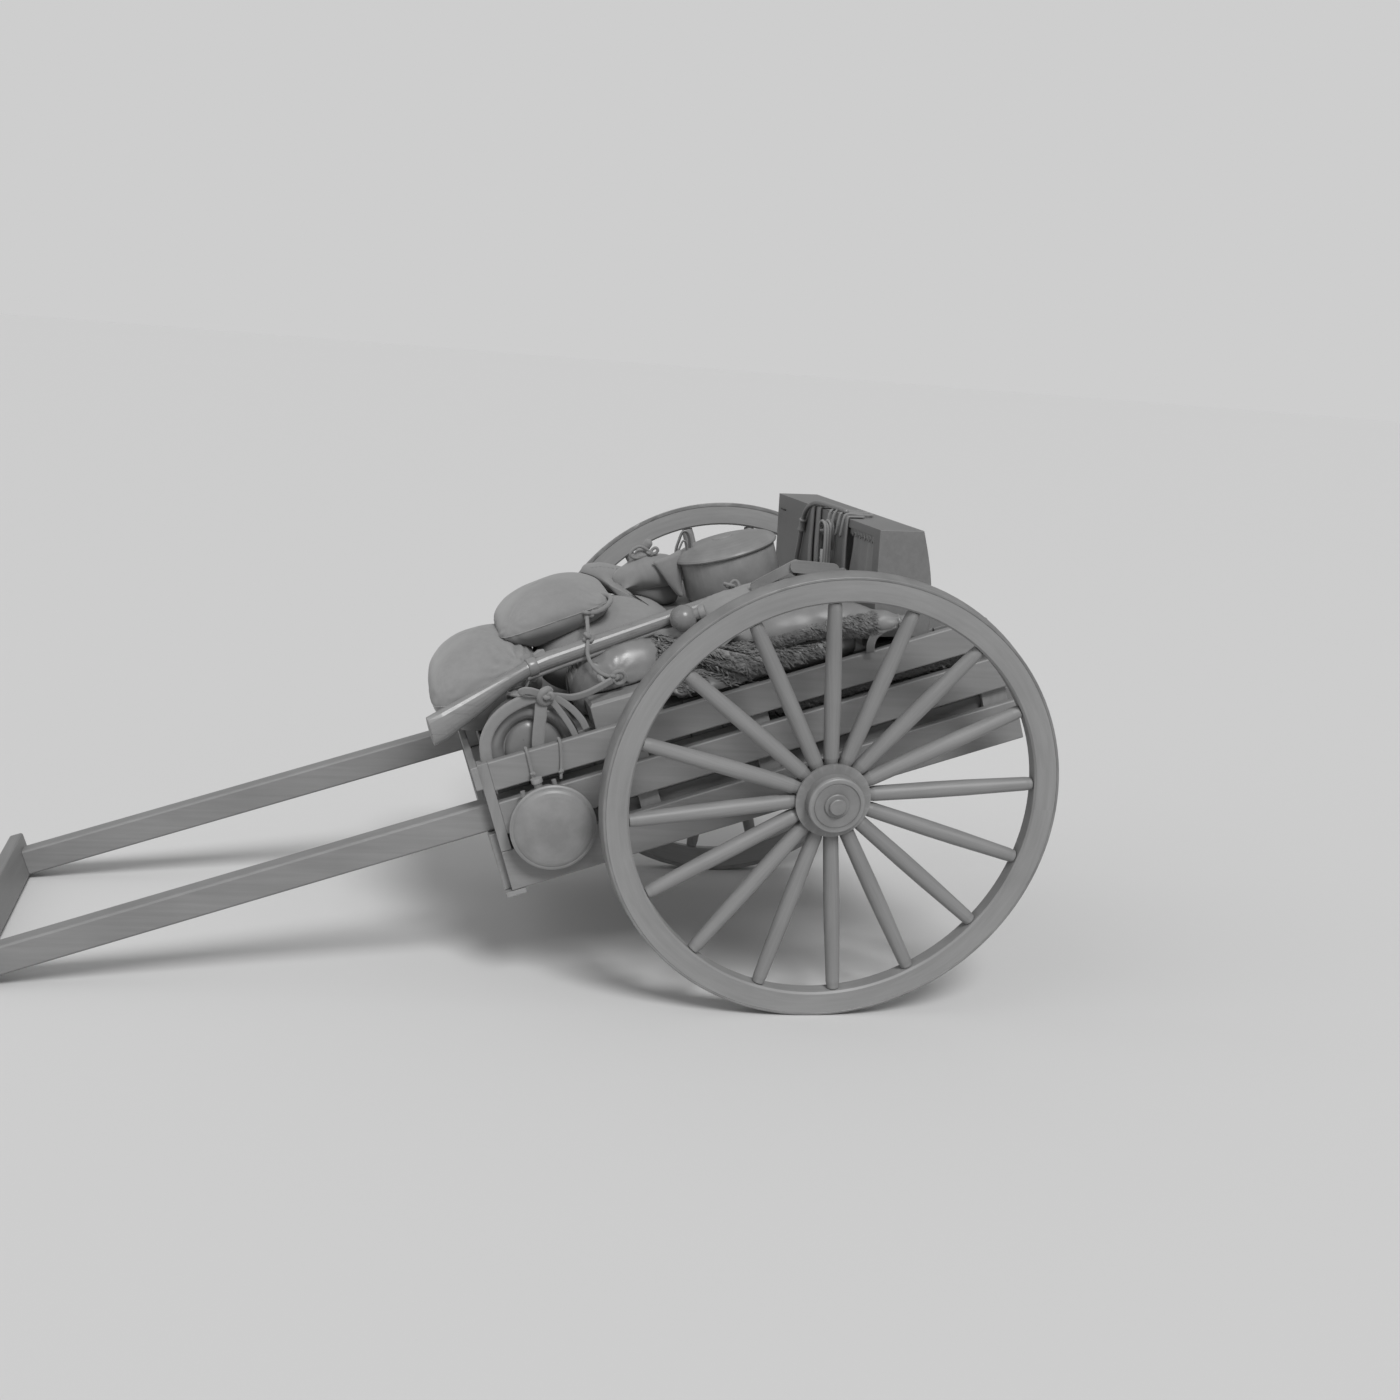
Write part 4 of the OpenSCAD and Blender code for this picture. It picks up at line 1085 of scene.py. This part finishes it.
make_cord("canteen_sling_front",
          bed_line(((711, 478, 290), (711, 480, 300), (711, 487, 309), (711, 497, 311), (711, 507, 308),
                    (711, 512, 296), (712, 514, 262), (714, 522, 226)), 6), 8, "canteen_slings")
make_cord("canteen_sling_rear",
          bed_line(((623, 478, 290), (623, 480, 300), (623, 487, 309), (623, 497, 311), (623, 507, 308),
                    (624, 512, 296), (632, 514, 258), (646, 522, 214)), 6), 8)
knot("canteen_knot_front", (712, 520, 246), 9, 7, hemp, 0.2, 0.5)
knot("canteen_knot_rear", (640, 520, 232), 9, 7, hemp, -0.4, 0.5)

make_cord("sack_cord",
          bed_line(((446, 222, 546), (450, 240, 540), (456, 270, 530), (462, 304, 522), (468, 334, 512),
                    (476, 352, 496), (484, 362, 474), (482, 376, 446), (466, 392, 420), (444, 402, 406)), 4),
          11, far_end="knot")
knot("sack_cord_knot_high", (444, 228, 546), 30, 11, hemp, 0.2, 0.4)
knot("sack_cord_knot_gun", (470, 342, 510), 24, 11, hemp, 0.8, 0.6)
knot("bag_neck_knot", (436, 402, 402), 20, 11, hemp, 0.1, 0.2)
twine("bag_neck_ring", [bed(424 + 17 * math.cos(a), 400 + 3 * math.sin(a), 398 + 17 * math.sin(a))
                        for a in angles(32)], 6 * MM, 0.026, hemp)
make_cord("sack_top_loop",
          bed_line(((436, 230, 546), (420, 238, 548), (400, 240, 552), (384, 238, 560), (374, 226, 568),
                    (374, 208, 574), (384, 194, 578), (400, 186, 580)), 4), 15)

# Trunk: straps over its front edge, a roped handle with ferrules, the hank, and the fringed panel

TRUNK_AT, TRUNK_D, TRUNK_FOOT = -228.0, 122.0, 34.0
TRUNK_LEAN, TRUNK_TURN = math.radians(17), math.radians(2)


def on_trunk(out, v, h):
    """A place by the trunk's front: out of its face, along it to the left, and up it, in millimetres."""
    x, z = TRUNK_D + TRUNK_FOOT + out, h
    f = x * math.cos(TRUNK_LEAN) - z * math.sin(TRUNK_LEAN) - (TRUNK_D + TRUNK_FOOT) * math.cos(TRUNK_LEAN)
    u = x * math.sin(TRUNK_LEAN) + z * math.cos(TRUNK_LEAN)
    return bed(TRUNK_AT + f * math.cos(TRUNK_TURN) - v * math.sin(TRUNK_TURN),
               f * math.sin(TRUNK_TURN) + v * math.cos(TRUNK_TURN), CRATE_TOP + u)


def trunk_line(points, steps=6):
    return fair([on_trunk(*p) for p in points], steps)


def make_trunk_straps():
    parts = []
    for v, width in ((-104, 34), (-44, 32)):
        path = trunk_line(((4, v, 46), (4.5, v + 2, 110), (5, v - 1, 180), (4.5, v, 240), (4, v, 272),
                           (2, v, 284), (-6, v, 286.5), (-24, v, 286), (-46, v, 286)))
        parts.append(band(f"trunk_strap_{len(parts)}", path, LEFT, width * MM, 6 * MM, strap_leather))
    edge = trunk_line(((4, 206, 40), (4.5, 207, 120), (5, 206, 200), (4, 206, 270),
                       (2, 206, 284), (-6, 206, 286.5), (-44, 206, 286)))
    parts.append(band("trunk_strap_edge", edge, LEFT, 24 * MM, 6 * MM, strap_leather))
    for obj in parts:
        ride(obj, "hide")
    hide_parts("trunk_straps")


def sleeve(name, path, radius, material):
    """A turned ferrule round a cord: a short sleeve with a bead at each end."""
    profile = [(0.0, 0.55), (0.04, 1.1), (0.12, 1.25), (0.2, 1.12), (0.3, 1.0), (0.7, 1.0), (0.8, 1.12),
               (0.88, 1.25), (0.96, 1.1), (1.0, 0.55)]
    rows = carry(path, UP)
    rings = []
    for t, r in profile:
        x = t * (len(rows) - 1)
        i = min(int(x), len(rows) - 2)
        p = rows[i][0].lerp(rows[i + 1][0], x - i)
        rings.append([p + (rows[i][2] * math.cos(a) + rows[i][3] * math.sin(a)) * (radius * r)
                      for a in angles(20)[:-1]])
    return ride(loft(name, rings, material), "iron")


def make_handle():
    points = ((8, -232, 60), (9, -228, 90), (10, -214, 130), (10, -196, 175), (10, -180, 220),
              (11, -160, 254), (10, -128, 278), (7, -84, 293), (0, -30, 297), (-4, 30, 297), (-6, 100, 297),
              (-6, 160, 296.5), (-4, 176, 296))
    path = trunk_line(points, 4)
    rope = ride(tube("trunk_handle", path, 7 * MM, strap_leather, sides=14), "hide")
    sleeve("trunk_ferrule_high", path[14:19], 10 * MM, worn_iron)
    sleeve("trunk_ferrule_low", path[1:6], 10 * MM, worn_iron)


HANK_D = 8.0


def make_hank():
    """A hank of rope hung from the trunk's top edge: four long turns, and the loop that holds it."""
    turns, per, half_w, half_h, middle = 4, 26, 25.0, 52.0, 182.0
    path = []
    for i in range(turns * per + 1):
        t = i / per
        a = 2 * math.pi * t
        c, s = math.cos(a), math.sin(a)
        y = half_w * c
        h = half_w * s + (half_h if s > 0 else -half_h) * min(1.0, abs(s) * 3.0)
        path.append(on_trunk(8 + 8.4 * t, 84 + y + 2.5 * t, middle + h + 3 * math.sin(2.1 * t)))
    make_cord("rope_hank_turns", path, HANK_D, "rope_hank", lay="coiled")
    for k, (v, rise) in enumerate(((66, 0), (104, 2))):
        over = 290 + rise
        hang = trunk_line(((14, v, 225), (13, v, 246), (11, v + 2, 268), (8, v + 3, 282), (0, v + 4, over),
                           (-14, v + 6, over), (-40, v + 10, 289), (-70, v + 18, 288), (-86, v + 44, 288),
                           (-76, v + 72, 288), (-40, v + 86, 289), (-10, v + 88, over), (4, v + 88, 288),
                           (9, v + 87, 272), (11, v + 84, 250), (12, v + 78, 228)), 3)
        make_cord(f"hank_hanger_{k}", hang, HANK_D)
    for k, (v, h) in enumerate(((84, 232), (86, 150))):
        p = to_bed(on_trunk(24, v, h))
        knot(f"hank_knot_{k}", (p.x, p.y, p.z), 22, 9, hemp, 0.5 * k, 0.7)


ALCOVE_V, ALCOVE_H, ALCOVE_D = (191.0, 427.0), (90.0, 258.0), 22.0


def make_panel():
    """Cloth lining in the trunk's alcove: a hanging panel with a waved free edge, under a fringed strip."""
    cols, rows = 22, 14
    verts = []
    for i in range(rows + 1):
        t = i / rows
        edge = ALCOVE_V[0] + 26 + 12 * math.sin(4.2 * t + 0.6)
        for j in range(cols + 1):
            s = j / cols
            v = edge + (ALCOVE_V[1] - 4 - edge) * s
            wave = 3.0 * math.sin(9 * s + 2 * t) * (1 - s) + 1.5 * math.sin(21 * s)
            verts.append(on_trunk(-ALCOVE_D + 6 + wave, v,
                                  ALCOVE_H[1] - 3 - (ALCOVE_H[1] - ALCOVE_H[0] - 6) * t))
    panel = add_mesh("trunk_lining", verts, grid(rows, cols), bag_cloth)
    panel.modifiers.new("thick", "SOLIDIFY").thickness = 2 * MM
    ride(panel, "cloth")
    verts, faces = [], []
    tabs, top = 16, ALCOVE_H[1]
    for k in range(tabs):
        v0 = ALCOVE_V[0] + 30 + (ALCOVE_V[1] - ALCOVE_V[0] - 36) * k / tabs
        w = (ALCOVE_V[1] - ALCOVE_V[0] - 36) / tabs * 0.78
        drop = 18 + 4 * math.sin(2.3 * k)
        base = len(verts)
        outline = ((0, 1), (1, 1), (0.86, drop * 0.75), (0.5, drop), (0.14, drop * 0.75))
        verts += [on_trunk(out, v0 + w * s, top - down) for out in (-8.0, -5.0) for s, down in outline]
        faces.append(tuple(base + i for i in range(5)))
        faces.append(tuple(base + 9 - i for i in range(5)))
        for i in range(5):
            j = (i + 1) % 5
            faces.append((base + j, base + i, base + 5 + i, base + 5 + j))
    ride(add_mesh("trunk_fringe", verts, faces, strap_leather, smooth=False), "hide")


make_trunk_straps()
make_handle()
make_hank()
make_panel()

# Gun: its bands, lock, guard and tie, in the gun's own frame

GUN_AT = (600.0, 352.0, 484.0)
GUN_TURN = math.radians(12)
GUN_RISE = math.radians(0.4)


def on_gun(x, y, z):
    """A place in the gun's frame: x to the muzzle, y to its side, z up."""
    a = math.pi + GUN_TURN
    level = x * math.cos(GUN_RISE) - z * math.sin(GUN_RISE)
    rise = x * math.sin(GUN_RISE) + z * math.cos(GUN_RISE)
    return bed(GUN_AT[0] + level * math.cos(a) - y * math.sin(a),
               GUN_AT[1] + level * math.sin(a) + y * math.cos(a), GUN_AT[2] + rise)


def gun_ring(name, x, long, half_w, half_h, middle, material, slot):
    rings = []
    for s, grow in ((-0.5, -1.5), (-0.47, 1.2), (-0.36, 2.2), (0.36, 2.2), (0.47, 1.2), (0.5, -1.5)):
        w, h = half_w + grow, half_h + grow
        rings.append([on_gun(x + s * long, w * math.cos(a), middle + h * math.sin(a))
                      for a in angles(40)[:-1]])
    return ride(loft(name, rings, material), slot)


def make_gun():
    gun_ring("gun_band_rear", -34, 26, 21.6, 23.2, -4, gun_wood, "wood")
    gun_ring("gun_band_front", 588, 14, 17.6, 18.8, 2, worn_iron, "iron")
    # Lock: a wedge on the stock's upper side
    rings = []
    low = 18
    for x, w, high in ((-26, 4, 21), (-22, 9, 27), (-4, 9, 33), (8, 7, 31), (12, 4, 22)):
        outline = ((-w, low), (w, low), (w, high - 1.5), (w - 1.5, high), (-w + 1.5, high), (-w, high - 1.5))
        rings.append([on_gun(x, y, z) for y, z in outline])
    ride(loft("gun_lock", rings, worn_iron, smooth=False), "iron")
    # Trigger guard under the wrist
    bow = ((-120, 0, -38), (-108, 0, -52), (-88, 0, -58), (-66, 0, -52), (-52, 0, -36))
    guard = fair([on_gun(*p) for p in bow], 6)
    ride(band("gun_guard", guard, LEFT, 9 * MM, 3 * MM, worn_iron), "iron")
    turn = [on_gun(560 + 3 * math.sin(2 * a), 24 * math.cos(a), 2 + 24 * math.sin(a)) for a in angles(32)]
    twine("muzzle_tie", turn, 4.5 * MM, TIE_LAY, hemp)
    p = to_bed(on_gun(556, -20, 30))
    knot("muzzle_knot", (p.x, p.y, p.z), 42, 9, hemp, 0.3, 0.5)


make_gun()
